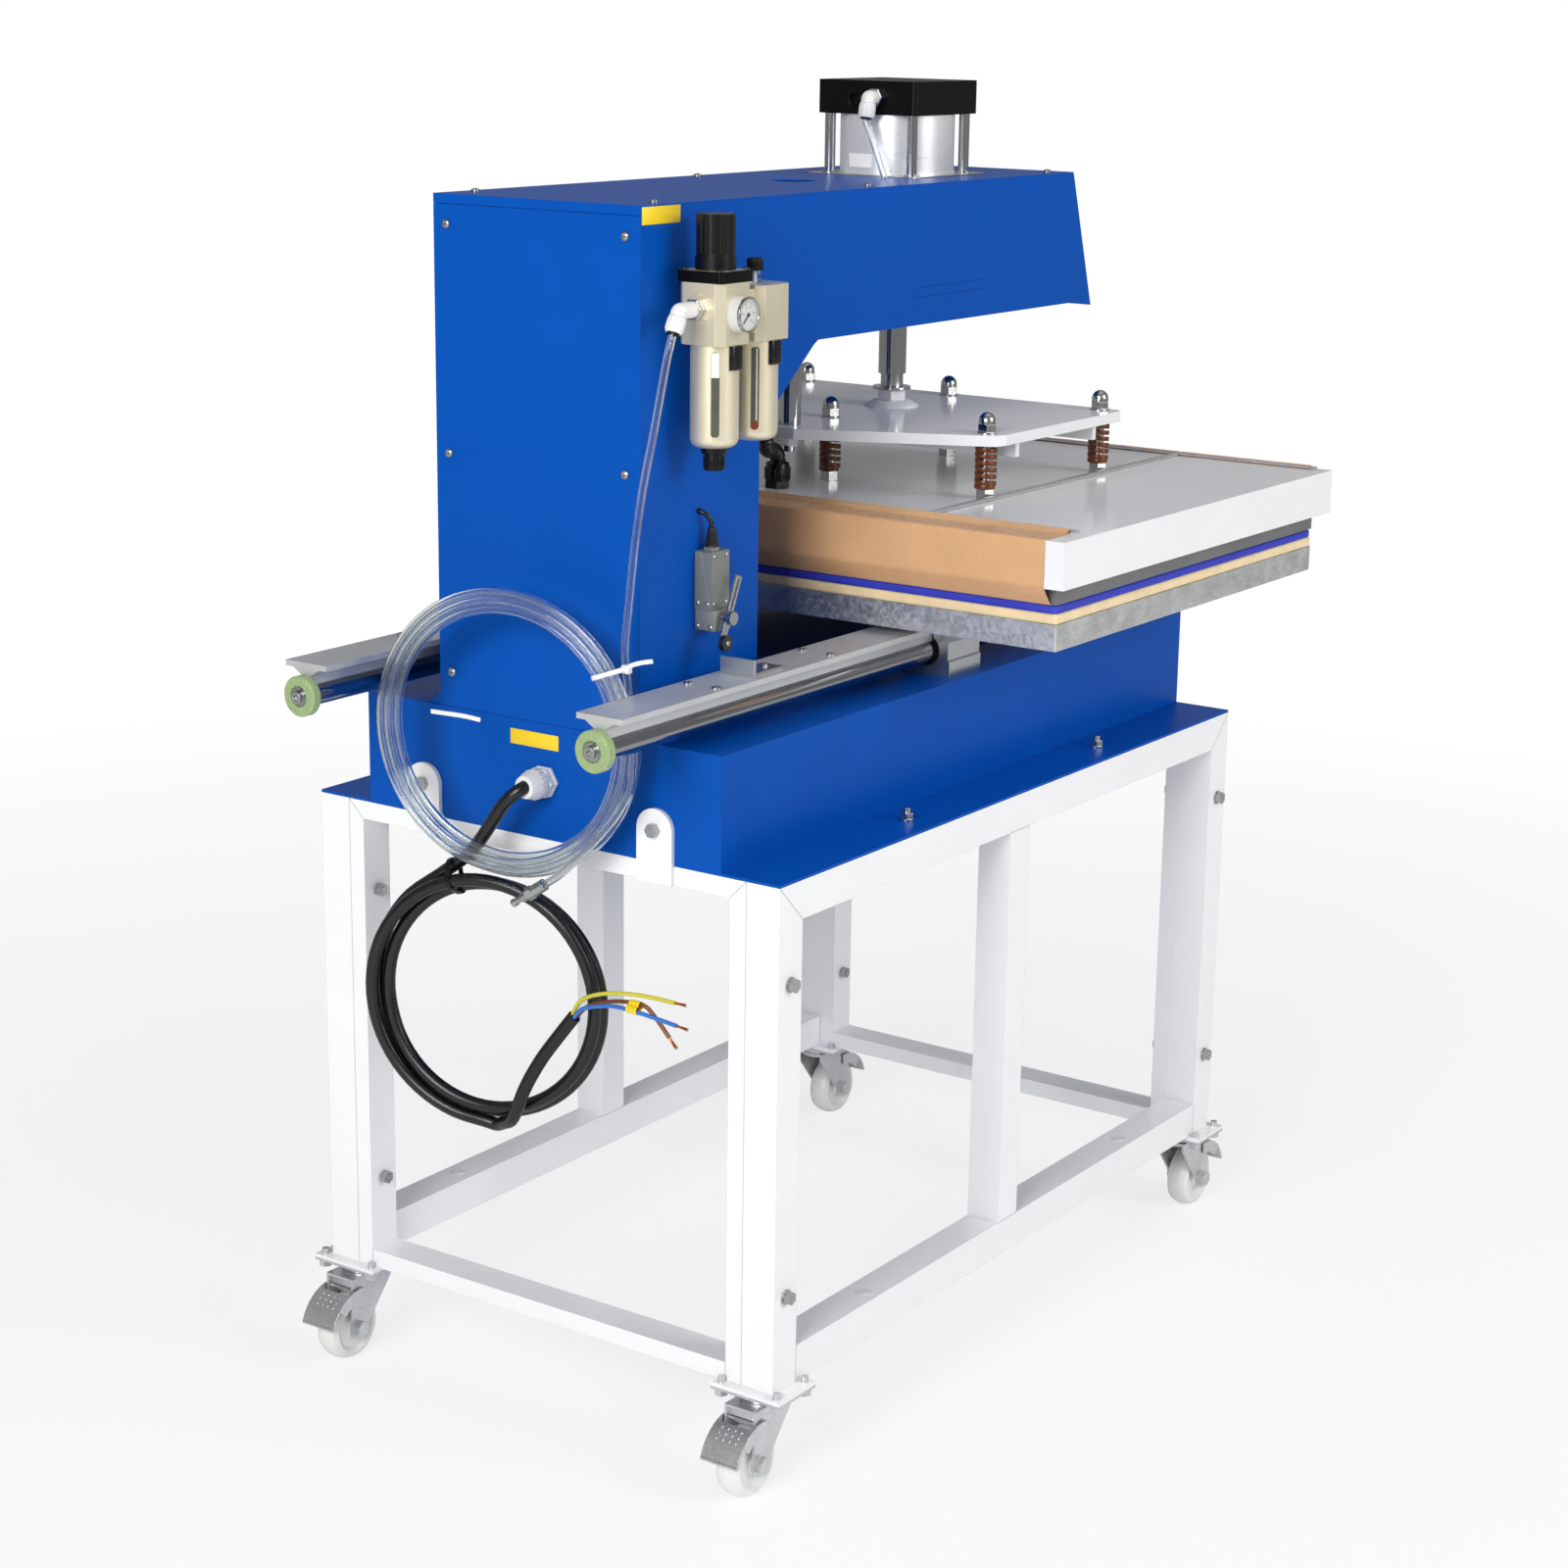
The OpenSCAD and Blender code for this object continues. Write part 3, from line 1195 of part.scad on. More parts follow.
module gauge_needle() {
    color("#1a1a1c") at_filter() translate([unit_w / 2 + gauge_t - gauge_lip + near, 0, gauge_z - unit_z])
        rotate([0, 90, 0]) {
            cylinder(r = gauge_lip, h = needle_t);
            rotate([0, 0, needle_rest]) translate([-gauge_lip, -needle_w / 2, 0]) cube([needle_l + gauge_lip, needle_w, needle_t]);
        }
}
// A bowl with a round foot and a slot that shows the level
module bowl(l, turn) {
    foot = bowl_r * 0.4;
    difference() {
        rotate_extrude() {
            translate([0, -l + foot]) square([bowl_r, l - foot]);
            translate([0, -l]) square([bowl_r - foot, foot]);
            intersection() {
                translate([bowl_r - foot, -l + foot]) circle(foot);
                translate([0, -l]) square([bowl_r, foot]);
            }
        }
        rotate([0, 0, turn]) along_y(-bowl_r - cut, window_d + cut) translate([-window_w / 2, -l * 0.88])
            round_rect([0, 0], [window_w, l * 0.82], window_w * half - near);
    }
    rotate([0, 0, turn]) along_y(-bowl_r + window_d * half, window_d * half) translate([-window_w / 2 + near, -l * 0.87])
        round_rect([0, 0], [window_w - 2 * near, l * 0.8], window_w * half - 2 * near);
}
module latch() {
    translate([bowl_r - latch_d * half, -latch_w / 2, -latch_h]) cube([latch_d * 1.3, latch_w, latch_h - near]);
}
module air_unit_bowls() {
    color("#c9bf9a") {
        at_filter() {
            difference() {
                bowl(bowl_l, window_turn);
                translate([bowl_r - latch_d * half - near, -latch_w / 2 - near, -latch_h - near])
                    cube([latch_d * 2, latch_w + 2 * near, latch_h + cut]);
            }
            latch();
        }
        at_lubricator() {
            difference() {
                bowl(lub_bowl_l, window_turn);
                translate([bowl_r - latch_d * half - near, -latch_w / 2 - near, -latch_h - near])
                    cube([latch_d * 2, latch_w + 2 * near, latch_h + cut]);
            }
            latch();
        }
    }
}
module regulator_knob() {
    color("#151517") at_filter() translate([0, 0, unit_h + bonnet_h + near]) {
        cylinder(r = knob_r + cut, h = knob_ring_h);
        translate([0, 0, knob_ring_h]) difference() {
            cylinder(r = knob_r, h = knob_h);
            for (k = [1 : knob_flutes]) rotate([0, 0, k * 360 / knob_flutes])
                translate([knob_r + flute_r * half, 0, flute_r * 2]) cylinder(r = flute_r, h = knob_h);
        }
    }
}
module drain_cock() {
    color("#151517") at_filter() translate([0, 0, -bowl_l - near - drain_h]) {
        translate([0, 0, drain_h * 0.75]) cylinder(r = drain_r * 1.15, h = drain_h * 0.25);
        cylinder(r = drain_r * 0.9, h = drain_h * 0.8);
    }
}
module lubricator_cap() {
    color("#151517") at_lubricator() translate([0, 0, unit_h - lub_drop + near]) {
        cylinder(r = lub_cap_r * 0.85, h = lub_dome_h);
        translate([0, 0, lub_dome_h]) cylinder(r = lub_cap_r, h = lub_cap_h);
    }
}
// An elbow fitting that leaves along -Y and turns down, drawn with its thread at the origin
module elbow(out, turn) {
    hex_y(0, -elbow_hex * half, 0, elbow_hex * half, elbow_hex);
    rod_y(0, -out, 0, out, elbow_r - cut);
    translate([0, -out, 0]) {
        sphere(elbow_r + near);
        rotate([180 - turn, 0, 0]) {
            cylinder(r = elbow_r, h = elbow_r * 1.3);
            translate([0, 0, elbow_r]) difference() {
                cylinder(r = collar_r, h = collar_l - elbow_r);
                translate([0, 0, elbow_r * half]) cylinder(r = hose_r + near, h = collar_l);
            }
        }
    }
}
module nylon_fittings() {
    body_rear = unit_y - unit_w / 2;
    color("#e8e8e4") rear() {
        translate([unit_x, body_rear, fit_z]) elbow(elbow_out, elbow_turn);
        translate([cap_port_x, cyl_y - cap_side / 2, cyl_top + barrel_h + cap_port_z]) elbow(cap_elbow_out, cap_elbow_turn);
        translate([unit_x, unit_y + unit_gap + unit_w / 2, fit_z - lub_drop]) rotate([0, 0, 180]) {
            hex_y(0, -elbow_hex * half, 0, elbow_hex * half, elbow_hex);
            rod_y(0, -elbow_hex * 1.2, 0, elbow_hex, elbow_r * 0.8);
        }
        difference() {
            union() {
                hex_y(cable_gland_x, -cable_gland_out * 0.35, cable_gland_z, cable_gland_out * 0.35, cable_gland_hex);
                rod_y(cable_gland_x, -cable_gland_out, cable_gland_z, cable_gland_out, cable_gland_r);
            }
            rod_y(cable_gland_x, -cable_gland_out - cut, cable_gland_z, cable_gland_out * 0.4 + cut, cable_r + 3 * running);
        }
    }
}

// Limit switch: the body on the column's side, the lever on the face that points out
module limit_switch_body() {
    x = column_x;
    color("#6f7270") rear() {
        difference() {
            union() {
                block([x, switch_y, switch_z], [x + switch_d, switch_y + switch_w, switch_z + switch_h]);
                block([x, switch_y + cut, switch_z - switch_head_h], [x + switch_head_d, switch_y + switch_w - cut, switch_z]);
            }
            rod_x(lever_x - hub_t, lever_y, lever_z, hub_t, axle_r * half + running);
        }
        for (k = [0 : boot_rings - 1]) rod_z(x + switch_d / 2, switch_y + switch_w / 2, switch_z + switch_h + k * boot_h / boot_rings,
            boot_h / boot_rings, boot_r * (1 - 0.09 * k) * (k % 2 == 0 ? 1 : 0.85));
        tube_along(switch_route, switch_cable_r, 8);
    }
}
module at_lever() { rear() translate([lever_x, lever_y, lever_z]) rotate([-lever_tilt, 0, 0]) children(); }
module lever_bar() {
    difference() {
        union() {
            translate([-lever_w / 2, -lever_down]) square([lever_w, lever_down + lever_up]);
            translate([0, -lever_down]) circle(lever_w / 2);
        }
        translate([-lever_slot / 2, lever_w]) square([lever_slot, lever_up - lever_w - lever_slot]);
        translate([0, -lever_down]) circle(axle_r * 0.4);
    }
}
module limit_lever() {
    color("silver") at_lever() {
        along_x(0, lever_t) lever_bar();
        rod_x(-hub_t + cut, 0, 0, hub_t, axle_r * half);
        rod_x(near, 0, 0, hub_t, hub_r);
        rod_x(0, 0, -lever_down, lever_t + roller_w + 2 * near + cut, axle_r * 0.4);
    }
}
module limit_roller() {
    color("#2a2a2c") at_lever() difference() {
        rod_x(lever_t + near, 0, -lever_down, roller_w, roller_r);
        rod_x(lever_t + near - cut, 0, -lever_down, roller_w + 2 * cut, axle_r * 0.4 + running);
    }
}

// Controls, drawn on the arm's slanted front: x to the left from behind, y up the slope, z out of the face
module on_front(x, up) {
    rear() translate([0, arm_low_y, arm_z - arm_lip_z]) rotate([0, 0, 180]) rotate([90 - front_turn, 0, 0])
        translate([x, up, 0]) children();
}
module control_gear() {
    color("#2b2d30") {
        on_front(0, panel_up) {
            linear_extrude(panel_t) round_rect([-panel_w / 2, -panel_h / 2], [panel_w / 2, panel_h / 2], panel_t);
        }
        on_front(stop_x, panel_up) difference() {
            cylinder(r = stop_collar_r, h = stop_collar_h);
            translate([0, 0, cut]) cylinder(r = stop_stem_r + near, h = stop_collar_h);
        }
        on_front(rocker_x, panel_up) difference() {
            linear_extrude(rocker_case_h) round_rect([-rocker_case_w / 2, -rocker_case_l / 2],
                [rocker_case_w / 2, rocker_case_l / 2], cut);
            translate([-rocker_w / 2 - near, -rocker_l / 2 - near, rocker_floor])
                cube([rocker_w + 2 * near, rocker_l + 2 * near, rocker_case_h]);
            rod_x(-rocker_w / 2 - 2 * rocker_pin_r, 0, rocker_pin_z, rocker_w + 4 * rocker_pin_r, rocker_pin_r + running);
        }
        rear() {
            block([-relay_w / 2, column_d - sheet_t - relay_d, conduit_z - 2 * relay_h],
                [relay_w / 2, column_d - sheet_t, conduit_z - relay_h]);
            block([column_x - sheet_t - valve_w, unit_y, unit_z - valve_l], [column_x - sheet_t, unit_y + valve_h, unit_z]);
        }
    }
}
module emergency_stop() {
    color("#c3201c") on_front(stop_x, panel_up) {
        translate([0, 0, stop_collar_h + stop_travel + near]) {
            cylinder(r = stop_r, h = stop_h * 0.6);
            translate([0, 0, stop_h * 0.6]) cylinder(r1 = stop_r, r2 = stop_r * 0.8, h = stop_h * 0.3);
        }
        translate([0, 0, cut + stop_travel + near]) cylinder(r = stop_stem_r, h = stop_collar_h);
    }
}
module power_switch() {
    y = rocker_l / 2 - rocker_floor;
    color("#151517") on_front(rocker_x, panel_up) {
        along_x(-rocker_w / 2, rocker_w) polygon([[-y, rocker_low], [y, rocker_low],
            [y, rocker_case_h + rocker_low], [0, rocker_case_h + rocker_floor], [-y, rocker_case_h + rocker_floor]]);
        rod_x(-rocker_w / 2 - 2 * rocker_pin_r + near, 0, rocker_pin_z,
            rocker_w + 4 * rocker_pin_r - 2 * near, rocker_pin_r);
    }
}

// Cords
module power_cable() {
    n = len(cable_loops);
    start = cable_loops[0];
    end = cable_loops[n - 1];
    color("#151517") rear() {
        tube_along(concat(cable_lead, [2 * start - cable_loops[1], start]), cable_r, 8);
        tube_along(concat([end, 2 * end - cable_loops[n - 2]], cable_tail), cable_r, 8);
        for (c = [conductor_earth, conductor_neutral, conductor_live]) {
            tube_along(c, conductor_r, 8);
            last = c[len(c) - 1];
            way = unit(last - c[len(c) - 2]);
            tube_along([last, last + bare_l * way], bare_r, 8);
        }
    }
}
module power_cable_coil() { color("#151517") rear() tube_along(cable_loops, cable_r, loop_sides); }
module air_hose() {
    n = len(hose_loops);
    end = hose_loops[n - 1];
    color("#dfe6e8") rear() {
        tube_along(concat(hose_drop, [2 * hose_loops[0] - hose_loops[1], hose_loops[0]]), hose_r, 8);
        tube_along(concat([end, 2 * end - hose_loops[n - 2]], hose_tail), hose_r, 8);
    }
}
module air_hose_coil() { color("#dfe6e8") rear() tube_along(hose_loops, hose_r, loop_sides); }
module hose_plug() {
    n = len(hose_tail);
    end = hose_tail[n - 1];
    way = unit(end - hose_tail[n - 2]);
    color("silver") rear() translate(end) rotate([0, acos(way[2]), atan2(way[1], way[0])]) {
        cylinder(r = plug_r, h = plug_l);
        translate([0, 0, plug_l]) hex(2 * plug_r, plug_l * half);
        translate([0, 0, plug_l * 1.5]) cylinder(r = plug_r * 0.76, h = plug_l * half);
        translate([0, 0, plug_l * 2]) cylinder(r = plug_r * half, h = plug_l * 0.7);
        translate([0, 0, plug_l * 2.5]) cylinder(r = plug_r * 0.66, h = plug_l * 0.3);
    }
}

side_frames();
cross_frames();
fixings();
caster_plates();
base_housing();
column_housing();
rear_cover();
lid();
nylon_fittings();
control_gear();
air_unit_body();
air_unit_bowls();
limit_switch_body();
cylinder_cap();
cylinder_barrel();
cylinder_base();
cylinder_hose();
bearing_blocks();
power_cable();
power_cable_coil();
air_hose();
air_hose_coil();
hose_plug();
caster_fork(0);  // caster_fork_rear_right
caster_fork(1);  // caster_fork_rear_left
caster_fork(2);  // caster_fork_front_right
caster_fork(3);  // caster_fork_front_left
caster_wheel(0);  // caster_wheel_rear_right
caster_wheel(1);  // caster_wheel_rear_left
caster_wheel(2);  // caster_wheel_front_right
caster_wheel(3);  // caster_wheel_front_left
caster_pedal(0);  // caster_pedal_rear_right
caster_pedal(1);  // caster_pedal_rear_left
caster_pedal(2);  // caster_pedal_front_right
caster_pedal(3);  // caster_pedal_front_left
power_switch();
emergency_stop();
regulator_knob();
gauge_needle();
drain_cock();
lubricator_cap();
limit_lever();
limit_roller();
press_rods();
pressure_plate();
spring_bolts();
press_springs();
platen_cover();
heat_plate();
release_sheet();
sheet_rods();
platen_gland();
conduit();
table_plate();
felt_layer();
silicone_pad();
support_rails();
rail_bumpers();
trip_bracket();
table_handle();
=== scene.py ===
# Pneumatic heat press on a rolling stand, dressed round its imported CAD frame.
import math
import random

import bmesh
import bpy
from mathutils import Matrix, Vector


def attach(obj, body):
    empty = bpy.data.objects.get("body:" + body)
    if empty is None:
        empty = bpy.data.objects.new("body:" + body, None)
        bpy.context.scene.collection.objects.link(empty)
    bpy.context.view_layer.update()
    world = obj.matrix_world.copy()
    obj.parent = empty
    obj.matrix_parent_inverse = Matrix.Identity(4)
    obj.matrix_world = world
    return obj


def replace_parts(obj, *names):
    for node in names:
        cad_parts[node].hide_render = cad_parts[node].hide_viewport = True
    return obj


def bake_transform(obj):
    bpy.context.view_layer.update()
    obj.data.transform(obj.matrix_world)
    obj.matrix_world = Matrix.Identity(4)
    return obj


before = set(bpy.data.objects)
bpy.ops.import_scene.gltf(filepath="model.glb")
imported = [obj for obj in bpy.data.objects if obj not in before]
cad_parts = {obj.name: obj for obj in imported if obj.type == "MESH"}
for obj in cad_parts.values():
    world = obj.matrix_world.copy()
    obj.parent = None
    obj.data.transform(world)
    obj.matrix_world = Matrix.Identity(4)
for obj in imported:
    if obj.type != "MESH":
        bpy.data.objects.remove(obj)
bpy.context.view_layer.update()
scene = bpy.context.scene
dice = random.Random(7)

# All places below are in millimetres from the rear of the stand, as in the part's source. The frame's
# origin lies this far towards the front.
REAR_Y = -424.5
MM = 0.001


def place(p):
    """A point in millimetres from the stand's rear, as metres in the frame."""
    return Vector((p[0], p[1] + REAR_Y, p[2])) * MM


# ---- Camera: the photograph's own viewing angle, worked out from the stand's known edges ----
LENS = 69.98
SENSOR = 36.0
CAMERA_AT = (1919.0, -2331.9, 1491.6)
YAW, PITCH, ROLL = 0.605436, 0.254177, 0.0141941


def stand_camera():
    """The camera at the photograph's own place, turned by yaw, pitch and roll."""
    ahead = Vector((-math.sin(YAW) * math.cos(PITCH), math.cos(YAW) * math.cos(PITCH), -math.sin(PITCH)))
    level = Vector((math.cos(YAW), math.sin(YAW), 0))
    upward = level.cross(ahead)
    right = math.cos(ROLL) * level + math.sin(ROLL) * upward
    up = -math.sin(ROLL) * level + math.cos(ROLL) * upward
    turn = Matrix((right, up, -ahead)).transposed()
    data = bpy.data.cameras.new("photo_camera")
    data.lens, data.sensor_width, data.clip_end = LENS, SENSOR, 200
    camera = bpy.data.objects.new("photo_camera", data)
    camera.matrix_world = Matrix.Translation(place(CAMERA_AT)) @ turn.to_4x4()
    scene.collection.objects.link(camera)
    scene.camera = camera


stand_camera()

# ---- Building solids from rings of points. A part is (points, faces), in millimetres ----


def joined(parts):
    """Many parts as one."""
    points, faces = [], []
    for p, f in parts:
        start = len(points)
        points += p
        faces += [[i + start for i in face] for face in f]
    return points, faces


def moved(part, at=(0, 0, 0), turn=None):
    """The part turned by a matrix, then carried to a place."""
    turn = turn or Matrix.Identity(3)
    return [turn @ Vector(p) + Vector(at) for p in part[0]], part[1]


def skinned(rings, round_trip=False):
    """A skin over rings of equally many points, closed by caps or run back into its first ring."""
    n, m = len(rings), len(rings[0])
    points = [Vector(p) for r in rings for p in r]
    faces = []
    for i in range(n if round_trip else n - 1):
        j = (i + 1) % n
        for k in range(m):
            q = (k + 1) % m
            faces.append([i * m + k, i * m + q, j * m + q, j * m + k])
    if not round_trip:
        faces.append(list(range(m))[::-1])
        faces.append([(n - 1) * m + k for k in range(m)])
    return points, faces


def circle(r, sides):
    return [(r * math.cos(2 * math.pi * k / sides), r * math.sin(2 * math.pi * k / sides))
            for k in range(sides)]


def spun(profile, steps=32, round_trip=False):
    """A profile of (radius, height) pairs spun round Z. A radius of nothing closes to a small flat."""
    return skinned([[(x, y, h) for x, y in circle(max(r, 0.01), steps)] for r, h in profile], round_trip)


def ring_of(section, steps=32):
    """A closed section of (radius, height) pairs spun round Z, as a ring or a bush."""
    return spun(section, steps, round_trip=True)


def rounded(half_x, half_y, r, steps=5):
    """The outline of a rectangle with round corners, counted round its middle."""
    out = []
    for corner, (sx, sy) in enumerate([(1, 1), (-1, 1), (-1, -1), (1, -1)]):
        for k in range(steps + 1):
            a = math.pi / 2 * (corner + k / steps)
            out.append((sx * (half_x - r) + r * math.cos(a), sy * (half_y - r) + r * math.sin(a)))
    return out


def inset(outline, by):
    """The outline with each point moved inwards, across the line between its neighbours."""
    n = len(outline)
    out = []
    for i, (x, y) in enumerate(outline):
        a, b = Vector(outline[i - 1]), Vector(outline[(i + 1) % n])
        way = (b - a).normalized()
        out.append((x - way.y * by, y + way.x * by))
    return out


def slab(outline, low, high, edge):
    """An outline drawn up from low to high, its rims rounded by edge in three steps."""
    rings = []
    for side in (0, 1):
        for k in range(4):
            a = math.pi / 2 * (k / 3 if side == 0 else 1 - k / 3)
            z = (low + edge * (1 - math.sin(a))) if side == 0 else (high - edge * (1 - math.sin(a)))
            rings.append([(x, y, z) for x, y in inset(outline, edge * (1 - math.cos(a - math.pi / 2)))])
    return skinned(rings)


def box_of(low, high, edge):
    """A block between two corners, with rounded edges."""
    mesh = bmesh.new()
    bmesh.ops.create_cube(mesh, size=1)
    size = [high[i] - low[i] for i in range(3)]
    mid = [(high[i] + low[i]) / 2 for i in range(3)]
    for v in mesh.verts:
        v.co = Vector([mid[i] + v.co[i] * size[i] for i in range(3)])
    bmesh.ops.bevel(mesh, geom=mesh.edges[:], offset=edge, segments=2, affect="EDGES", profile=0.5)
    points = [v.co.copy() for v in mesh.verts]
    faces = [[v.index for v in f.verts] for f in mesh.faces]
    mesh.free()
    return points, faces


def smoothed(points, steps=6):
    """Points set closer together along a curve through the given ones."""
    p = [Vector(q) for q in points]
    out = []
    for i in range(len(p) - 1):
        a, b, c, d = p[max(i - 1, 0)], p[i], p[i + 1], p[min(i + 2, len(p) - 1)]
        for k in range(steps):
            t = k / steps
            out.append(b + t * (c - a) / 2 + t * t * (a - 2.5 * b + 2 * c - d / 2)
                       + t ** 3 * (d - a + 3 * b - 3 * c) / 2)
    return out + [p[-1]]


def length_of(points):
    return sum((Vector(b) - Vector(a)).length for a, b in zip(points, points[1:]))


def stations(path):
    """For each point of a path, its heading and two directions across it that don't twist."""
    p = [Vector(q) for q in path]
    out, across = [], None
    for i in range(len(p)):
        way = (p[min(i + 1, len(p) - 1)] - p[max(i - 1, 0)]).normalized()
        if across is None:
            across = Vector((0, 0, 1)) if abs(way.z) < 0.7 else Vector((0, 1, 0))
        across = (across - across.dot(way) * way).normalized()
        out.append((p[i], way, across, way.cross(across)))
    return out


def drawn(path, section, sizes=None):
    """A section of (across, beside) pairs drawn along a path, as large as sizes says at each point."""
    rings = []
    for i, (at, way, across, beside) in enumerate(stations(path)):
        s = sizes[i] if sizes else 1
        rings.append([at + s * (a * across + b * beside) for a, b in section])
    return skinned(rings)


def pipe(path, r, bore=0.0, sides=12, sizes=None):
    """A round tube along a path, with an open bore where one is given."""
    if not bore:
        return drawn(path, circle(r, sides), sizes)
    outer, inner = [[[at + a * across + b * beside for a, b in circle(reach, sides)]
                     for at, way, across, beside in stations(path)] for reach in (r, bore)]
    return skinned(outer + inner[::-1], round_trip=True)


def aim(way):
    """The turn that lays a part drawn along Z onto a heading."""
    return Vector((0, 0, 1)).rotation_difference(Vector(way)).to_matrix()


def around(part, count):
    """Copies of a part set evenly round Z."""
    return joined([moved(part, turn=Matrix.Rotation(2 * math.pi * k / count, 3, "Z")) for k in range(count)])


def mirrored(part):
    """The part and its twin on the machine's other side."""
    twin = [Vector((-p[0], p[1], p[2])) for p in part[0]], [f[::-1] for f in part[1]]
    return joined([part, twin])


def hexagon(across, low, high, edge=0.8):
    """A six-sided nut between two heights, with broken rims."""
    r = across / math.sqrt(3)
    return spun([(r - edge, low), (r, low + edge), (r, high - edge), (r - edge, high)], 6)


def screw_head(r, h, depth=1.1):
    """A round head with a cross recess pressed into its dome, on a grid that follows the recess."""
    slot, reach = 0.14, 0.56
    half = [0, slot - 0.04, slot + 0.03, 0.34, reach - 0.02, reach + 0.05, 0.8, 0.93, 1.0]
    ticks = [-t for t in half[:0:-1]] + half
    m = len(ticks)
    points = []
    for v in ticks:
        for u in ticks:
            x, y = u * math.sqrt(1 - v * v / 2), v * math.sqrt(1 - u * u / 2)
            sunk = (abs(x) < slot and abs(y) < reach) or (abs(y) < slot and abs(x) < reach)
            points.append(Vector((x * r, y * r, h * (1 - 0.5 * (x * x + y * y)) - depth * sunk)))
    faces = [[j * m + i, j * m + i + 1, (j + 1) * m + i + 1, (j + 1) * m + i]
             for j in range(m - 1) for i in range(m - 1)]
    rim = list(range(m)) + [j * m + m - 1 for j in range(1, m)] \
        + [(m - 1) * m + i for i in range(m - 2, -1, -1)] + [j * m for j in range(m - 2, 0, -1)]
    low, n = len(points), len(rim)
    points += [Vector((points[k].x, points[k].y, 0)) for k in rim]
    faces += [[low + k, low + (k + 1) % n, rim[(k + 1) % n], rim[k]] for k in range(n)]
    faces.append([low + k for k in range(n)][::-1])
    return points, faces


def socket_head(r, h, key, depth):
    """A cap screw's head with a six-sided socket."""
    k = key / math.sqrt(3)
    outer = [[(p * math.cos(math.pi * i / 12), p * math.sin(math.pi * i / 12), z) for i in range(24)]
             for p, z in ((r, 0), (r, h - 0.6), (r - 0.6, h))]
    inner = []
    for z in (h, h - depth):
        ring = []
        for i in range(24):
            a = math.pi * i / 12
            side = math.pi / 3
            flat = k * math.cos(side / 2) / math.cos(a % side - side / 2)
            ring.append((flat * math.cos(a), flat * math.sin(a), z))
        inner.append(ring)
    return skinned(outer + inner)


def figures(words, size, thick):
    """Plain numbers as thin raised shapes, centred on the origin and read from above."""
    curve = bpy.data.curves.new("figures", "FONT")
    curve.body, curve.size, curve.extrude = words, size, thick / 2
    curve.align_x, curve.align_y = "CENTER", "CENTER"
    obj = bpy.data.objects.new("figures", curve)
    scene.collection.objects.link(obj)
    mesh = bpy.data.meshes.new_from_object(obj.evaluated_get(bpy.context.evaluated_depsgraph_get()))
    part = [v.co.copy() for v in mesh.vertices], [list(f.vertices) for f in mesh.polygons]
    bpy.data.objects.remove(obj)
    bpy.data.curves.remove(curve)
    bpy.data.meshes.remove(mesh)
    return part


# Turns that lay a part drawn along Z onto another axis
TO_X = Matrix.Rotation(math.pi / 2, 3, "Y")
TO_Y = Matrix.Rotation(-math.pi / 2, 3, "X")
TO_BACK = Matrix.Rotation(math.pi / 2, 3, "X")
# A dial on the machine's right: drawn as seen, its face out along X
DIAL = TO_X @ Matrix.Rotation(math.pi / 2, 3, "Z")


def piece(name, parts, material, body="machine", crease=40):
    """An object made of parts, with its material, on its body."""
    points, faces = joined(parts) if isinstance(parts, list) else parts
    mesh = bpy.data.meshes.new(name)
    mesh.from_pydata([place(p) for p in points], [], faces)
    shape = bmesh.new()
    shape.from_mesh(mesh)
    bmesh.ops.recalc_face_normals(shape, faces=shape.faces)
    shape.to_mesh(mesh)
    shape.free()
    mesh.materials.append(material)
    mesh.shade_smooth()
    mesh.set_sharp_from_angle(angle=math.radians(crease))
    obj = bpy.data.objects.new(name, mesh)
    scene.collection.objects.link(obj)
    if body:
        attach(obj, body)
    return obj


# ---- Materials ----


def tint(code):
    """An sRGB hex colour as linear red, green, blue and alpha."""
    parts = [int(code[i:i + 2], 16) / 255 for i in (1, 3, 5)]
    return tuple(c / 12.92 if c <= 0.04045 else ((c + 0.055) / 1.055) ** 2.4 for c in parts) + (1.0,)


def add(tree, kind, ins=None, **settings):
    """A node of that kind with its settings, its sockets given a value or a link."""
    node = tree.nodes.new(kind)
    for key, value in settings.items():
        setattr(node, key, value)
    for socket, value in (ins or {}).items():
        if isinstance(value, bpy.types.NodeSocket):
            tree.links.new(value, node.inputs[socket])
        else:
            node.inputs[socket].default_value = value
    return node


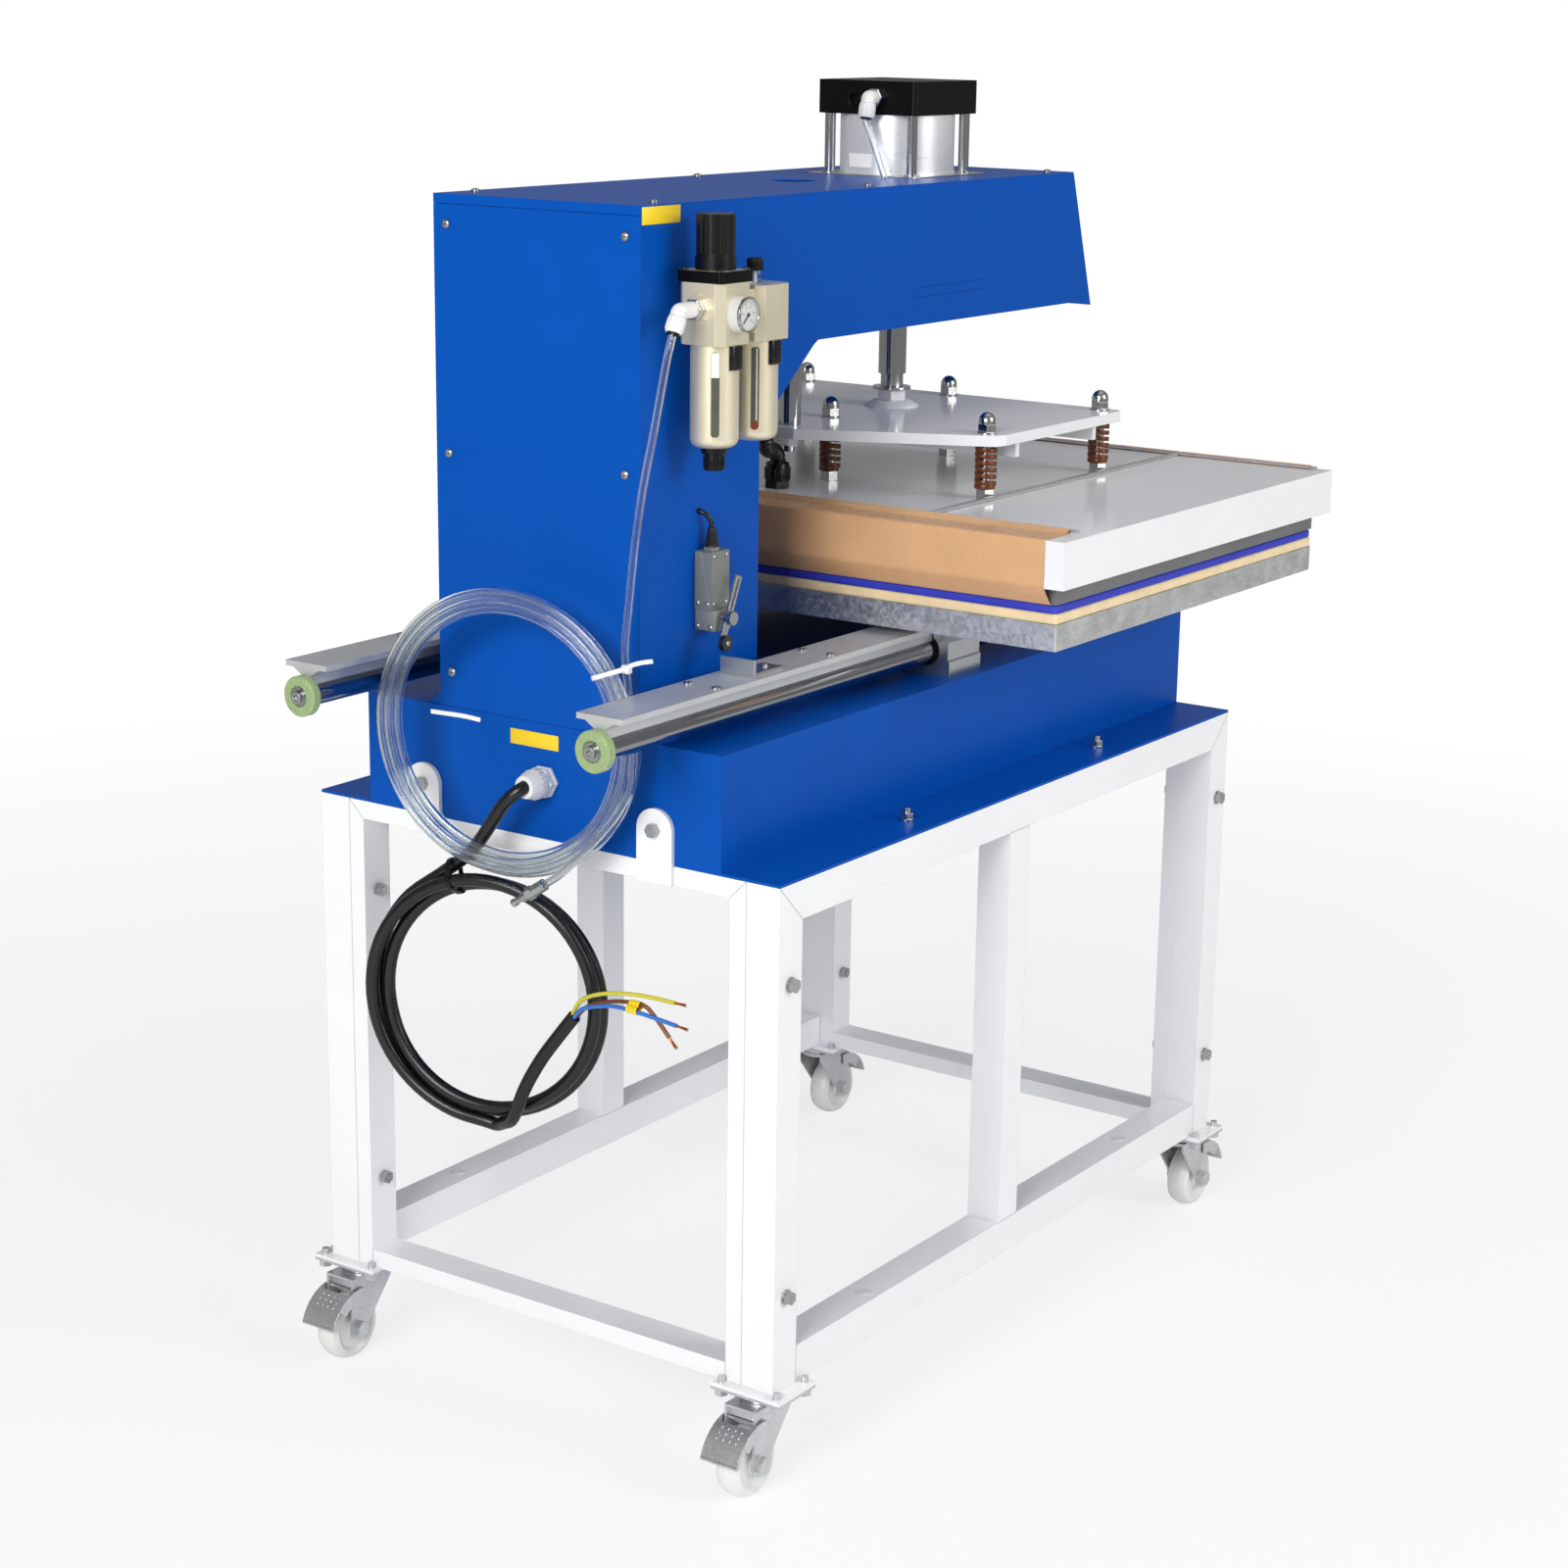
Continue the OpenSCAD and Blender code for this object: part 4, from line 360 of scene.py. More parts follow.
def finish(name, slot, colour, rough, grain=1, height=0.05, metal=0.0, mottle=0.06, patch=60,
           uneven=0.05, round_edge=0.8, detail=3, pattern=None, **shader):
    """A surface of one colour, lightly mottled in patches (mm across), with a grain (mm, or mm in X, Y, Z) of
    a height in mm. pattern makes another height and tint from the tree and the place on the surface."""
    if isinstance(grain, (int, float)):
        grain = (grain, grain, grain)
    mat = bpy.data.materials.new(name)
    mat.use_nodes = True
    mat["slot"] = slot
    tree = mat.node_tree
    tree.nodes.clear()
    where = add(tree, "ShaderNodeTexCoord").outputs["Object"]
    cloud = add(tree, "ShaderNodeTexNoise", {"Vector": where, "Scale": 1000 / patch, "Detail": 4.0})
    fine_at = add(tree, "ShaderNodeMapping", {"Vector": where, "Scale": [1000 / g for g in grain]})
    fine = add(tree, "ShaderNodeTexNoise", {"Vector": fine_at.outputs[0], "Scale": 1.0,
                                            "Detail": float(detail)})
    base = tint(colour)
    light = tuple(min(1.0, c * (1 + mottle)) for c in base[:3]) + (1.0,)
    dark = tuple(c * (1 - mottle) for c in base[:3]) + (1.0,)
    spread = add(tree, "ShaderNodeMapRange", {"Value": cloud.outputs["Fac"], "From Min": 0.3,
                                              "From Max": 0.7})
    colour_out = paint_over(tree, dark, light, spread.outputs[0])
    height_out = fine.outputs["Fac"]
    if pattern:
        colour_out, height_out = pattern(tree, where, colour_out, height_out)
    gloss = add(tree, "ShaderNodeMapRange", {"Value": fine.outputs["Fac"], "From Min": 0.3, "From Max": 0.7,
                                             "To Min": max(0.02, rough - uneven), "To Max": rough + uneven})
    worn = add(tree, "ShaderNodeBevel", {"Radius": round_edge * MM}, samples=4) if round_edge else None
    ins = {"Height": height_out, "Distance": height * MM, "Strength": 1.0}
    if worn:
        ins["Normal"] = worn.outputs[0]
    bump = add(tree, "ShaderNodeBump", ins)
    body = add(tree, "ShaderNodeBsdfPrincipled", {"Base Color": colour_out, "Roughness": gloss.outputs[0],
                                                  "Metallic": metal, "Normal": bump.outputs[0], **shader})
    out = add(tree, "ShaderNodeOutputMaterial")
    tree.links.new(body.outputs[0], out.inputs["Surface"])
    return mat


def paint_over(tree, colour, other, mask):
    """The first colour where the mask is 0, the other where it is 1."""
    mix = add(tree, "ShaderNodeMix", {"Factor": mask}, data_type="RGBA")
    for socket, value in zip([s for s in mix.inputs if s.type == "RGBA"], (colour, other)):
        if isinstance(value, bpy.types.NodeSocket):
            tree.links.new(value, socket)
        else:
            socket.default_value = value
    return [s for s in mix.outputs if s.type == "RGBA"][0]


def woven(threads, dark, depth=0.35):
    """Threads (mm apart) that cross over and under each other."""
    def pattern(tree, where, colour, height):
        spaced = add(tree, "ShaderNodeMapping", {"Vector": where, "Scale": [1000 / threads] * 3}).outputs[0]
        warp = add(tree, "ShaderNodeTexWave", {"Vector": spaced, "Scale": 0.5, "Distortion": 0.3},
                   wave_type="BANDS", bands_direction="X")
        weft = add(tree, "ShaderNodeTexWave", {"Vector": spaced, "Scale": 0.5, "Distortion": 0.3},
                   wave_type="BANDS", bands_direction="DIAGONAL")
        cross = add(tree, "ShaderNodeMath", {0: warp.outputs["Fac"], 1: weft.outputs["Fac"]},
                    operation="MULTIPLY")
        faint = add(tree, "ShaderNodeMath", {0: cross.outputs[0], 1: depth}, operation="MULTIPLY")
        return paint_over(tree, colour, tint(dark), faint.outputs[0]), cross.outputs[0]
    return pattern


# Powder-coated steel, sprayed and baked: a gloss skin with an orange peel of about 2 mm
WHITE_PAINT = finish("powder_coated_steel_white", "white_paint", "#F0F1F2", 0.16, 2.6, 0.008,
                     mottle=0.015, uneven=0.03)
# The same powder over weld scale and nuts, where it lies thick and dull
THICK_PAINT = finish("powder_coat_over_weld", "white_paint", "#FBFBFA", 0.5, 1.6, 0.05, mottle=0.02)
# Powder-coated steel in blue: the same peel under a duller skin, which keeps its colour deep
BLUE_PAINT = finish("powder_coated_steel_blue", "blue_paint", "#004EAC", 0.38, 1.8, 0.012,
                    mottle=0.03, uneven=0.05, **{"Specular IOR Level": 0.1})
# Zinc-plated steel: bright and slightly cloudy, turned fasteners darker than pressed plates
ZINC = finish("zinc_plated_steel", "zinc_steel", "#ABADAE", 0.24, 1.2, 0.004, metal=1.0, mottle=0.08,
              patch=14, uneven=0.05)
PRESSED_ZINC = finish("zinc_plated_pressings", "zinc_steel", "#D2D4D5", 0.3, 2, 0.004, metal=0.9, mottle=0.06,
                      patch=20, uneven=0.06)
# Hard-chromed ground steel rod: a clear mirror with the finest rings of the grinding
CHROME = finish("ground_chromed_steel", "steel_shaft", "#B2B4B6", 0.11, (40, 40, 0.8), 0.002, metal=1.0,
                mottle=0.04, uneven=0.03)
# Extruded aluminium: satin, with drawn lines along the rail
RAIL = finish("extruded_aluminium", "aluminium", "#C6C8C9", 0.36, (0.8, 90, 0.8), 0.01, metal=0.4,
              mottle=0.07, patch=90, uneven=0.07)
# Milled aluminium plate: a soft cloudy grey that mirrors only dimly
PLATE = finish("milled_aluminium_plate", "aluminium", "#D4D5D5", 0.42, (5, 14, 5), 0.03, metal=0.9,
               mottle=0.16, patch=34, uneven=0.12)
# Clear anodised aluminium of the blocks and the base, an even satin
CAST = finish("clear_anodised_aluminium", "aluminium", "#C9CBCC", 0.32, 2, 0.02, metal=1.0, mottle=0.05,
              uneven=0.05)
# Brushed aluminium tube: pale, with fine marks that run round it
BARREL = finish("brushed_aluminium_tube", "aluminium", "#E8E9EA", 0.3, (30, 30, 2.5), 0.003, metal=0.5,
                mottle=0.03, uneven=0.03)
# Black anodised cast aluminium: deep black with a weak sheen
BLACK_METAL = finish("black_anodised_aluminium", "black_metal", "#080809", 0.34, 0.9, 0.012, mottle=0.1,
                     uneven=0.05, **{"Specular IOR Level": 0.14})
# Moulded nylon, black: its fine spark-eroded skin gives a broad highlight
BLACK_PLASTIC = finish("moulded_nylon_black", "black_plastic", "#09090A", 0.27, 0.8, 0.012, mottle=0.1,
                       **{"Specular IOR Level": 0.35})
# Corrugated polyamide, a shade greyer, so that its ribs catch the light
CONDUIT_SKIN = finish("corrugated_polyamide", "black_plastic", "#1A1A1B", 0.25, 0.8, 0.01, mottle=0.1,
                      round_edge=0, **{"Specular IOR Level": 0.6})
# Moulded ABS, red, with the soft gloss of a push button
RED_PLASTIC = finish("moulded_abs_red", "red_plastic", "#C3201C", 0.3, 1, 0.02)
# Moulded natural nylon: milky, a little light goes into it
NYLON = finish("moulded_nylon_white", "white_nylon", "#E6E6E4", 0.34, 1.4, 0.04, mottle=0.03,
               **{"Subsurface Weight": 0.12, "Subsurface Radius": (0.006, 0.005, 0.004),
                  "Subsurface Scale": 1.0})
# Champagne lacquer on die-cast zinc: a warm pale satin with the metal showing through
CHAMPAGNE = finish("lacquered_die_casting", "champagne_paint", "#E4DBC0", 0.33, 0.7, 0.02, metal=0.55,
                   mottle=0.05)
# Hammer-grey paint on a zinc casting, with a fine pebble in it
GREY_CASTING = finish("painted_die_casting_grey", "gray_plastic", "#7B7F7C", 0.5, 1.0, 0.09,
                      metal=0.2, mottle=0.08)
# Nitrile rubber, dull and slightly greyed; PVC cable skin, smoother and shinier
RUBBER = finish("nitrile_rubber", "black_rubber", "#131314", 0.55, 0.9, 0.05, mottle=0.12)
CABLE_SKIN = finish("pvc_cable_sheath", "black_rubber", "#0A0A0B", 0.3, 1.5, 0.02, mottle=0.12,
                    round_edge=0)
# Cast polyurethane: yellow-green and cloudy, light comes through its rim
BUMPER = finish("cast_polyurethane", "bumper_rubber", "#97AC7C", 0.26, 3, 0.03, mottle=0.07, patch=12,
                **{"Subsurface Weight": 0.5, "Subsurface Radius": (0.006, 0.008, 0.003),
                   "Subsurface Scale": 1.0})
# Flat spring wire, painted rust brown: a soft gloss on its edges
SPRING_PAINT = finish("painted_spring_steel", "spring_steel", "#6C391F", 0.3, 1.6, 0.01, metal=0.3,
                      mottle=0.12, patch=10)
# Glass cloth soaked in PTFE: tan with a soft waxy gloss; threads drawn 3 mm apart, coarser than the real 0.5
PTFE = finish("ptfe_glass_cloth", "release_cloth", "#E2B180", 0.3, (6, 3, 6), 0.05, mottle=0.07, patch=70,
              round_edge=0, pattern=woven(3.0, "#9A6B44"))
# Twisted aramid thread of the hems, pale and matt
STITCH = finish("aramid_thread", "release_cloth", "#D8C49B", 0.7, 0.5, 0.05, round_edge=0)
# Pressed wool felt, matt cream with fibres that lie every way
FELT = finish("pressed_felt", "felt", "#EBD3A4", 0.92, (5, 5, 1), 0.35, mottle=0.07, patch=18, detail=8,
              **{"Sheen Weight": 0.35, "Sheen Roughness": 0.6})
# Silicone sponge, blue, with a fine closed skin
SILICONE = finish("silicone_sponge", "silicone", "#2C36B4", 0.58, 1.6, 0.08, mottle=0.07, patch=25,
                  detail=6)
# Nickel-plated steel: domed nuts and studs, a dark warm mirror
NICKEL = finish("nickel_plated_steel", "steel_shaft", "#B9B8B5", 0.16, 3, 0.01, metal=1.0, mottle=0.05,
                patch=9, uneven=0.05)
# Ground rail steel, darker than chrome, its grinding marks run round it
SHAFT = finish("ground_rail_steel", "aluminium", "#97999B", 0.14, (30, 0.9, 30), 0.003, metal=1.0,
               mottle=0.05, uneven=0.05, round_edge=0.3)
# Bent sheet aluminium, satin, a few rolling lines
SHEET_METAL = finish("satin_sheet_aluminium", "zinc_steel", "#C6C7C8", 0.36, (20, 2, 0.8), 0.02, metal=1.0,
                     mottle=0.05, uneven=0.05)
# Blackened steel of the roller and the small socket screws, oily and dark
DARK_STEEL = finish("blackened_steel", "black_metal", "#4A4A4B", 0.32, 0.9, 0.02, metal=0.9)
# Polycarbonate bowl seen through its slot, smoky with what lies behind it
SMOKED = finish("smoked_polycarbonate", "gray_plastic", "#55564C", 0.12, 3, 0.01, mottle=0.12, patch=22,
                round_edge=0)
# Moulded ABS of the gauge's case, off-white
WHITE_ABS = finish("moulded_abs_white", "white_nylon", "#D2D2CF", 0.32, 1, 0.02, mottle=0.02)
# Painted shade in the joint lines: a soft grey strip that stands for the shade falling in the gap between the
# tubes
SEAM_SHADE = finish("painted_seam_shade", "white_paint", "#A9ACAE", 0.6, 1, 0.01, mottle=0.05, round_edge=0)
# Red-brown lubricating oil behind the lower end of its window
OIL_RED = finish("tinted_oil", "gray_plastic", "#7A3A22", 0.2, 2, 0.01, round_edge=0)
# Display glass, near black and smooth
LCD = finish("display_glass_dark", "black_plastic", "#0B0D10", 0.08, 4, 0.005, mottle=0.05, round_edge=0)
# Moulded key caps, grey with a fine skin
KEY_CAP = finish("moulded_keys_grey", "gray_plastic", "#5A5F66", 0.45, 0.8, 0.02)
# Screen-printed lamps and dial marks, flat colour without gloss
GREEN_INK = finish("screen_printed_green", "black_plastic", "#2E9C56", 0.45, 1, 0.01, round_edge=0)
RED_INK = finish("screen_printed_red", "red_plastic", "#C53A2B", 0.45, 1, 0.01, round_edge=0)
BLACK_INK = finish("screen_printed_black", "black_plastic", "#1C1C1E", 0.5, 1, 0.01, round_edge=0)
# Bare copper strands, warm and bright, a little tarnished
COPPER = finish("bare_copper_strands", "zinc_steel", "#C4763C", 0.3, 0.6, 0.06, metal=1.0, round_edge=0)
# Moulded nylon of the cable ties; vinyl film of the plates; stoved enamel of dial and plate
TIE = finish("moulded_nylon_tie", "white_nylon", "#E9E9E6", 0.35, 0.8, 0.02, round_edge=0.2)
YELLOW_FILM = finish("vinyl_film_yellow", "white_nylon", "#F2CE1E", 0.4, 3, 0.01, mottle=0.03)
WHITE_ENAMEL = finish("printed_dial_enamel", "white_nylon", "#F4F4F0", 0.4, 2, 0.01, mottle=0.02)


def clear_plastic(name, slot, colour, rough, ior):
    """A see-through moulding: light goes in and bends, and the skin keeps a gloss."""
    return finish(name, slot, colour, rough, 4, 0.01, mottle=0.02, uneven=0.02, round_edge=0,
                  **{"Transmission Weight": 1.0, "IOR": ior})


# Polyurethane air hose, clear with a blue-grey cast
CLEAR_HOSE = clear_plastic("clear_polyurethane", "clear_hose", "#F2F6F7", 0.08, 1.42)
# Water-clear polycarbonate of the gauge's window and the sight dome
GLASS = clear_plastic("moulded_polycarbonate", "clear_hose", "#FFFFFF", 0.05, 1.45)

# ---- Cords. Their points are those of the part's source, in millimetres ----
CABLE_R, HOSE_R, CONDUIT_R = 7.0, 4.0, 9.0
CABLE_LEAD = [(10, -21, 711), (10, -33, 711), (7, -40, 708), (-1, -45, 700), (-10, -46, 690), (-23, -47, 671),
              (-38, -47, 651), (-52, -48, 634)]
CABLE_TAIL = [(-6, -52, 353), (9, -58, 361), (20, -62, 377), (28, -62, 396), (37, -60, 415), (51, -57, 439),
              (69, -54, 464), (87, -51, 488)]
HOSE_DROP = [(169, 3, 1181.5), (169, 0, 1175), (165, -5, 1148), (156, -12, 1083), (147, -18, 1026),
             (142, -24, 969), (138, -28, 911), (135, -30, 868)]
HOSE_TAIL = [(144, -38, 723), (136, -44, 705), (124, -51, 687), (108, -55, 668), (90, -58, 650),
             (74, -60, 635), (58, -62, 624)]
CONDUCTORS = {
    "earth": [(84.8, -51, 490.1), (88, -51, 496), (95, -51, 506), (111, -51, 515), (135, -50, 522),
              (169, -48, 526), (210, -46, 526)],
    "neutral": [(88.7, -53.6, 487.6), (93, -53.6, 493.5), (101, -54, 500), (119, -54, 506), (141, -53, 510),
                (173, -50, 508), (213, -47, 503)],
    "live": [(88.7, -48.2, 487.4), (93, -48, 493), (102, -47, 501), (117, -46, 507), (139, -45, 513),
             (168, -44, 515), (182, -43, 506), (201, -43, 487)]}
CONDUCTOR_R, BARE_L = 2.2, 14
CONDUIT_ROUTE = [(-15, 441, 966), (-15, 441, 977), (-15, 441, 988), (-14.5, 436, 996), (-13, 426, 1000),
                 (-8, 411, 1002.5), (-3, 400, 1013), (-1, 398, 1030), (0, 394, 1052), (0, 377, 1076),
                 (0, 350, 1092), (0, 316, 1099), (0, 276, 1100), (0, 236, 1100), (0, 188, 1100)]
CYLINDER_ROUTE = [(15, 562, 1363), (15, 560, 1354), (20, 560, 1343), (28, 560, 1325), (36, 560, 1307),
                  (42, 560, 1292), (47, 559, 1276), (50, 557, 1262)]
SWITCH_ROUTE = [(141, 104, 971), (141, 103, 977), (139, 100, 984), (134, 97, 988), (128, 96, 989),
                (120, 96, 989)]
LOOP_RINGS = 24


def climb(s):
    """A smooth step from 0 to 1."""
    return 0 if s < 0 else 1 if s > 1 else s * s * (3 - 2 * s)


def coil_points(at, r, turn, loops, start, way, pitch, run):
    """A piled coil of two layers: it spirals in and out again, and climbs over as it reverses. turn and start
    are in degrees, and a straight end of the length run leads in and out."""
    last = round(loops * LOOP_RINGS)
    u = Vector((math.cos(math.radians(turn)), math.sin(math.radians(turn)), 0))
    n = Vector((-u.y, u.x, 0))
    points = []
    for i in range(last + 1):
        t = i / last * loops
        depth = min(t, loops - t)
        layer = climb((t - loops / 2) * 2 + 0.5)
        a = math.radians(start + way * 360 * t)
        points.append(Vector(at) + (r - pitch * depth) * (math.cos(a) * u + math.sin(a) * Vector((0, 0, 1)))
                      + pitch * (0.5 - layer) * n)
    before = (points[0] - points[1]).normalized() * run
    after = (points[-1] - points[-2]).normalized() * run
    return [points[0] + before] + points + [points[-1] + after]


cable_loops = coil_points((-31, -45, 484), r=134, turn=15, loops=2.42, start=118, way=1,
                          pitch=2 * CABLE_R + 1.6, run=2 * CABLE_R)
hose_loops = coil_points((4, -57, 770), r=148, turn=9.6, loops=5.08, start=20, way=-1,
                         pitch=2 * HOSE_R + 1.2, run=2 * HOSE_R)
cable_path = smoothed(CABLE_LEAD + cable_loops + CABLE_TAIL, 3)
hose_path = smoothed(HOSE_DROP + hose_loops + HOSE_TAIL, 3)


def lay_cord(name, path, part, r, material, far_end, replaces=(), **facts):
    obj = piece(name, part, material, crease=80)
    if replaces:
        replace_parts(obj, *replaces)
    return obj


HOSE_BORE = 2.6
STRANDS, STRAND_R, STRAND_TURN = 8, 0.55, 0.55
CONDUCTOR_COLOUR = {"earth": "#C9C23A", "neutral": "#2F6FC4", "live": "#7A4325"}
bare_ends = []
for key, route in CONDUCTORS.items():
    line = smoothed(route, 5)
    # PVC insulation of the conductor, glossy
    skin = finish("pvc_insulation_" + key, "black_rubber", CONDUCTOR_COLOUR[key], 0.34, 1.5, 0.02,
                  round_edge=0)
    way = (line[-1] - line[-2]).normalized()
    u = way.orthogonal().normalized()
    v = way.cross(u)
    strands = []
    for k in range(STRANDS):
        # The strands start inside the skin, twist round each other and spread towards their cut ends
        reach = BARE_L - 1.3 * (k % 3)
        turns = [(t / 8, k * math.pi / 4 + STRAND_TURN * t) for t in range(9)]
        strands.append(pipe([line[-1] + (reach * (t + 0.1) - 2) * way
                             + (0.8 + 0.5 * t * t) * (math.cos(a) * u + math.sin(a) * v) for t, a in turns],
                            STRAND_R, sides=6))
    bare = piece("conductor_" + key + "_bare_end", strands, COPPER)
    bare_ends.append(bare)
    lay_cord("conductor_" + key, line, pipe(line, CONDUCTOR_R, sides=12), CONDUCTOR_R, skin, "bare",
             stiffness="medium", lay="loose", with_pieces=[bare])
lay_cord("power_cable_line", cable_path, pipe(cable_path, CABLE_R, sides=20), CABLE_R, CABLE_SKIN, "bare",
         ("power_cable", "power_cable_coil"), stiffness="stiff", lay="coiled", with_pieces=bare_ends)
lay_cord("air_hose_line", hose_path, pipe(hose_path, HOSE_R, HOSE_BORE, sides=16), HOSE_R, CLEAR_HOSE,
         "connector", ("air_hose", "air_hose_coil"), stiffness="medium", lay="coiled",
         with_pieces=["hose_plug"])
short = smoothed(CYLINDER_ROUTE, 5)
lay_cord("cylinder_hose_line", short, pipe(short, HOSE_R, HOSE_BORE, sides=16), HOSE_R, CLEAR_HOSE, "object",
         ("cylinder_hose",), stiffness="medium", lay="loose")

# ---- The CAD's own nodes: each gets its finish ----
CASTERS = ["%s_%s" % (end, side) for end in ("rear", "front") for side in ("right", "left")]
# Anodised heat plate, dull grey
HEAT_PLATE = finish("anodised_heat_plate", "aluminium", "#8E8F90", 0.45, 1.2, 0.03, metal=0.8, mottle=0.08,
                    patch=90)
NODE_FINISH = {
    WHITE_PAINT: ["side_frames", "cross_frames", "pressure_plate", "platen_cover"],
    BLUE_PAINT: ["base_housing", "column_housing", "rear_cover", "lid"],
    ZINC: ["fixings", "limit_lever", "hose_plug"],
    PRESSED_ZINC: ["caster_plates", "sheet_rods"]
    + ["caster_%s_%s" % (kind, which) for kind in ("fork", "pedal") for which in CASTERS],
    NYLON: ["nylon_fittings"] + ["caster_wheel_" + which for which in CASTERS],
    CHROME: ["press_rods"],
    NICKEL: ["spring_bolts"],
    SHEET_METAL: ["trip_bracket"],
    DARK_STEEL: ["limit_roller"],
    RAIL: ["support_rails"],
    CAST: ["bearing_blocks", "cylinder_base"],
    BARREL: ["cylinder_barrel"],
    PLATE: ["table_plate"],
    BLACK_METAL: ["cylinder_cap"],
    BLACK_PLASTIC: ["control_gear", "regulator_knob", "gauge_needle", "drain_cock", "lubricator_cap",
                    "power_switch", "platen_gland", "table_handle"],
    RED_PLASTIC: ["emergency_stop"],
    CHAMPAGNE: ["air_unit_body", "air_unit_bowls"],
    GREY_CASTING: ["limit_switch_body"],
    BUMPER: ["rail_bumpers"],
    HEAT_PLATE: ["heat_plate"],
}
for material, nodes in NODE_FINISH.items():
    for node in nodes:
        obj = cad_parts[node]
        if not obj.material_slots:
            obj.data.materials.append(material)
        for slot in obj.material_slots:
            slot.material = material

# ---- Conduit from the platen into the column: ribs 4 mm apart, two rings on each and two in each groove ----
RIB_PITCH, GROOVE = 4, 0.84
conduit_line = smoothed(CONDUIT_ROUTE, 12)
whole = length_of(conduit_line)
ribs = round(whole / RIB_PITCH)
rib_line, k, gone = [], 0, 0.0
for a, b in zip(conduit_line, conduit_line[1:]):
    while k <= 4 * ribs and k / (4 * ribs) * whole <= gone + (b - a).length + 1e-6:
        rib_line.append(a + (b - a) * min(1, max(0, (k / (4 * ribs) * whole - gone) / (b - a).length)))
        k += 1
    gone += (b - a).length
rib_sizes = [1.0 if i % 4 in (0, 1) else GROOVE for i in range(len(rib_line))]
conduit = piece("conduit_ribbed", pipe(rib_line, CONDUIT_R, sides=20, sizes=rib_sizes), CONDUIT_SKIN, None,
                crease=80)
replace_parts(conduit, "conduit")
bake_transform(conduit)

# ---- Release sheet, stretched under the heat plate and hooked on its rods ----
COVER = dict(rear=333.5, front=964.5, low=906.0, top=956.0)
HEAT = dict(x=400.0, rear=349.0, front=949.0, low=887.0)
AXIS_Y = 649.0
SHEET_X, SHEET_T, SHEET_BEND, SHEET_COLUMNS = 393.0, 0.6, 3.0, 90
HEM_REAR, HEM_FRONT = COVER["rear"] + 50, COVER["front"] - 12


def sheet_profile():
    """The sheet's line from its rear hem, round the platen, to its front hem, as (y, z)."""
    g, c = 0.4, COVER
    turns = [(HEM_REAR, c["top"] + g), (c["rear"] - g, c["top"] + g), (c["rear"] - g, c["low"] + 2),
             (HEAT["rear"] - g, HEAT["low"] - g), (HEAT["front"] + g, HEAT["low"] - g),
             (c["front"] + g, c["low"] + 2), (c["front"] + g, c["top"] + g), (HEM_FRONT, c["top"] + g)]
    out = [turns[0]]
    for before, at, after in zip(turns, turns[1:], turns[2:]):
        p, q, s = Vector(before), Vector(at), Vector(after)
        back, on = (p - q).normalized() * SHEET_BEND, (s - q).normalized() * SHEET_BEND
        for k in range(5):
            t = k / 4
            out.append(tuple((1 - t) ** 2 * (q + back) + 2 * t * (1 - t) * q + t * t * (q + on)))
    return out + [turns[-1]]


def spaced(line, step):
    """A line of (y, z) points with more set between them where they lie far apart."""
    out = [line[0]]
    for a, b in zip(line, line[1:]):
        n = max(1, round((Vector(b) - Vector(a)).length / step))
        out += [tuple(Vector(a).lerp(Vector(b), k / n)) for k in range(1, n + 1)]
    return out


def make_release_sheet():
    """The cloth as two skins and a rim, and the length of its line when laid flat."""
    line = spaced(sheet_profile(), 12)
    columns = SHEET_COLUMNS
    # Slack waves where the sheet is drawn over the cover's rear and front faces, at most 1.6 mm proud
    waves = [(dice.uniform(0.006, 0.03), dice.uniform(0, 6.3), dice.uniform(-0.5, 0.5)) for _ in range(7)]
    points, faces = [], []
    for side in (0, 1):
        for i, (y, z) in enumerate(line):
            a, b = Vector(line[max(i - 1, 0)]), Vector(line[min(i + 1, len(line) - 1)])
            way = (b - a).normalized()
            out = Vector((-way.y, way.x))
            if out.dot(Vector((y, z)) - Vector((AXIS_Y, 930))) < 0:
                out = -out
            on_face = max(0.0, min(1.0, (z - 890) / 12) * min(1.0, (957 - z) / 6))
            if 345 <= y <= 952:
                on_face = 0.0
            for k in range(columns + 1):
                x = -SHEET_X + 2 * SHEET_X * k / columns
                swell = sum(math.sin(w * x + p + s * z / 30) for w, p, s in waves) / 7
                lift = on_face * (0.7 + 0.9 * swell) + (SHEET_T if side else 0)
                points.append(Vector((x, y + out.x * lift, z + out.y * lift)))
    m = columns + 1
    n = len(line)
    for side in (0, 1):
        start = side * n * m
        for i in range(n - 1):
            for k in range(columns):
                at = start + i * m + k
                quad = [at, at + 1, at + m + 1, at + m]
                faces.append(quad if side else quad[::-1])
    rim = list(range(m)) + [i * m + columns for i in range(1, n)] \
        + [(n - 1) * m + k for k in range(columns - 1, -1, -1)] + [i * m for i in range(n - 2, 0, -1)]
    for a, b in zip(rim, rim[1:] + rim[:1]):
        faces.append([a, b, b + n * m, a + n * m])
    return (points, faces), length_of(line)


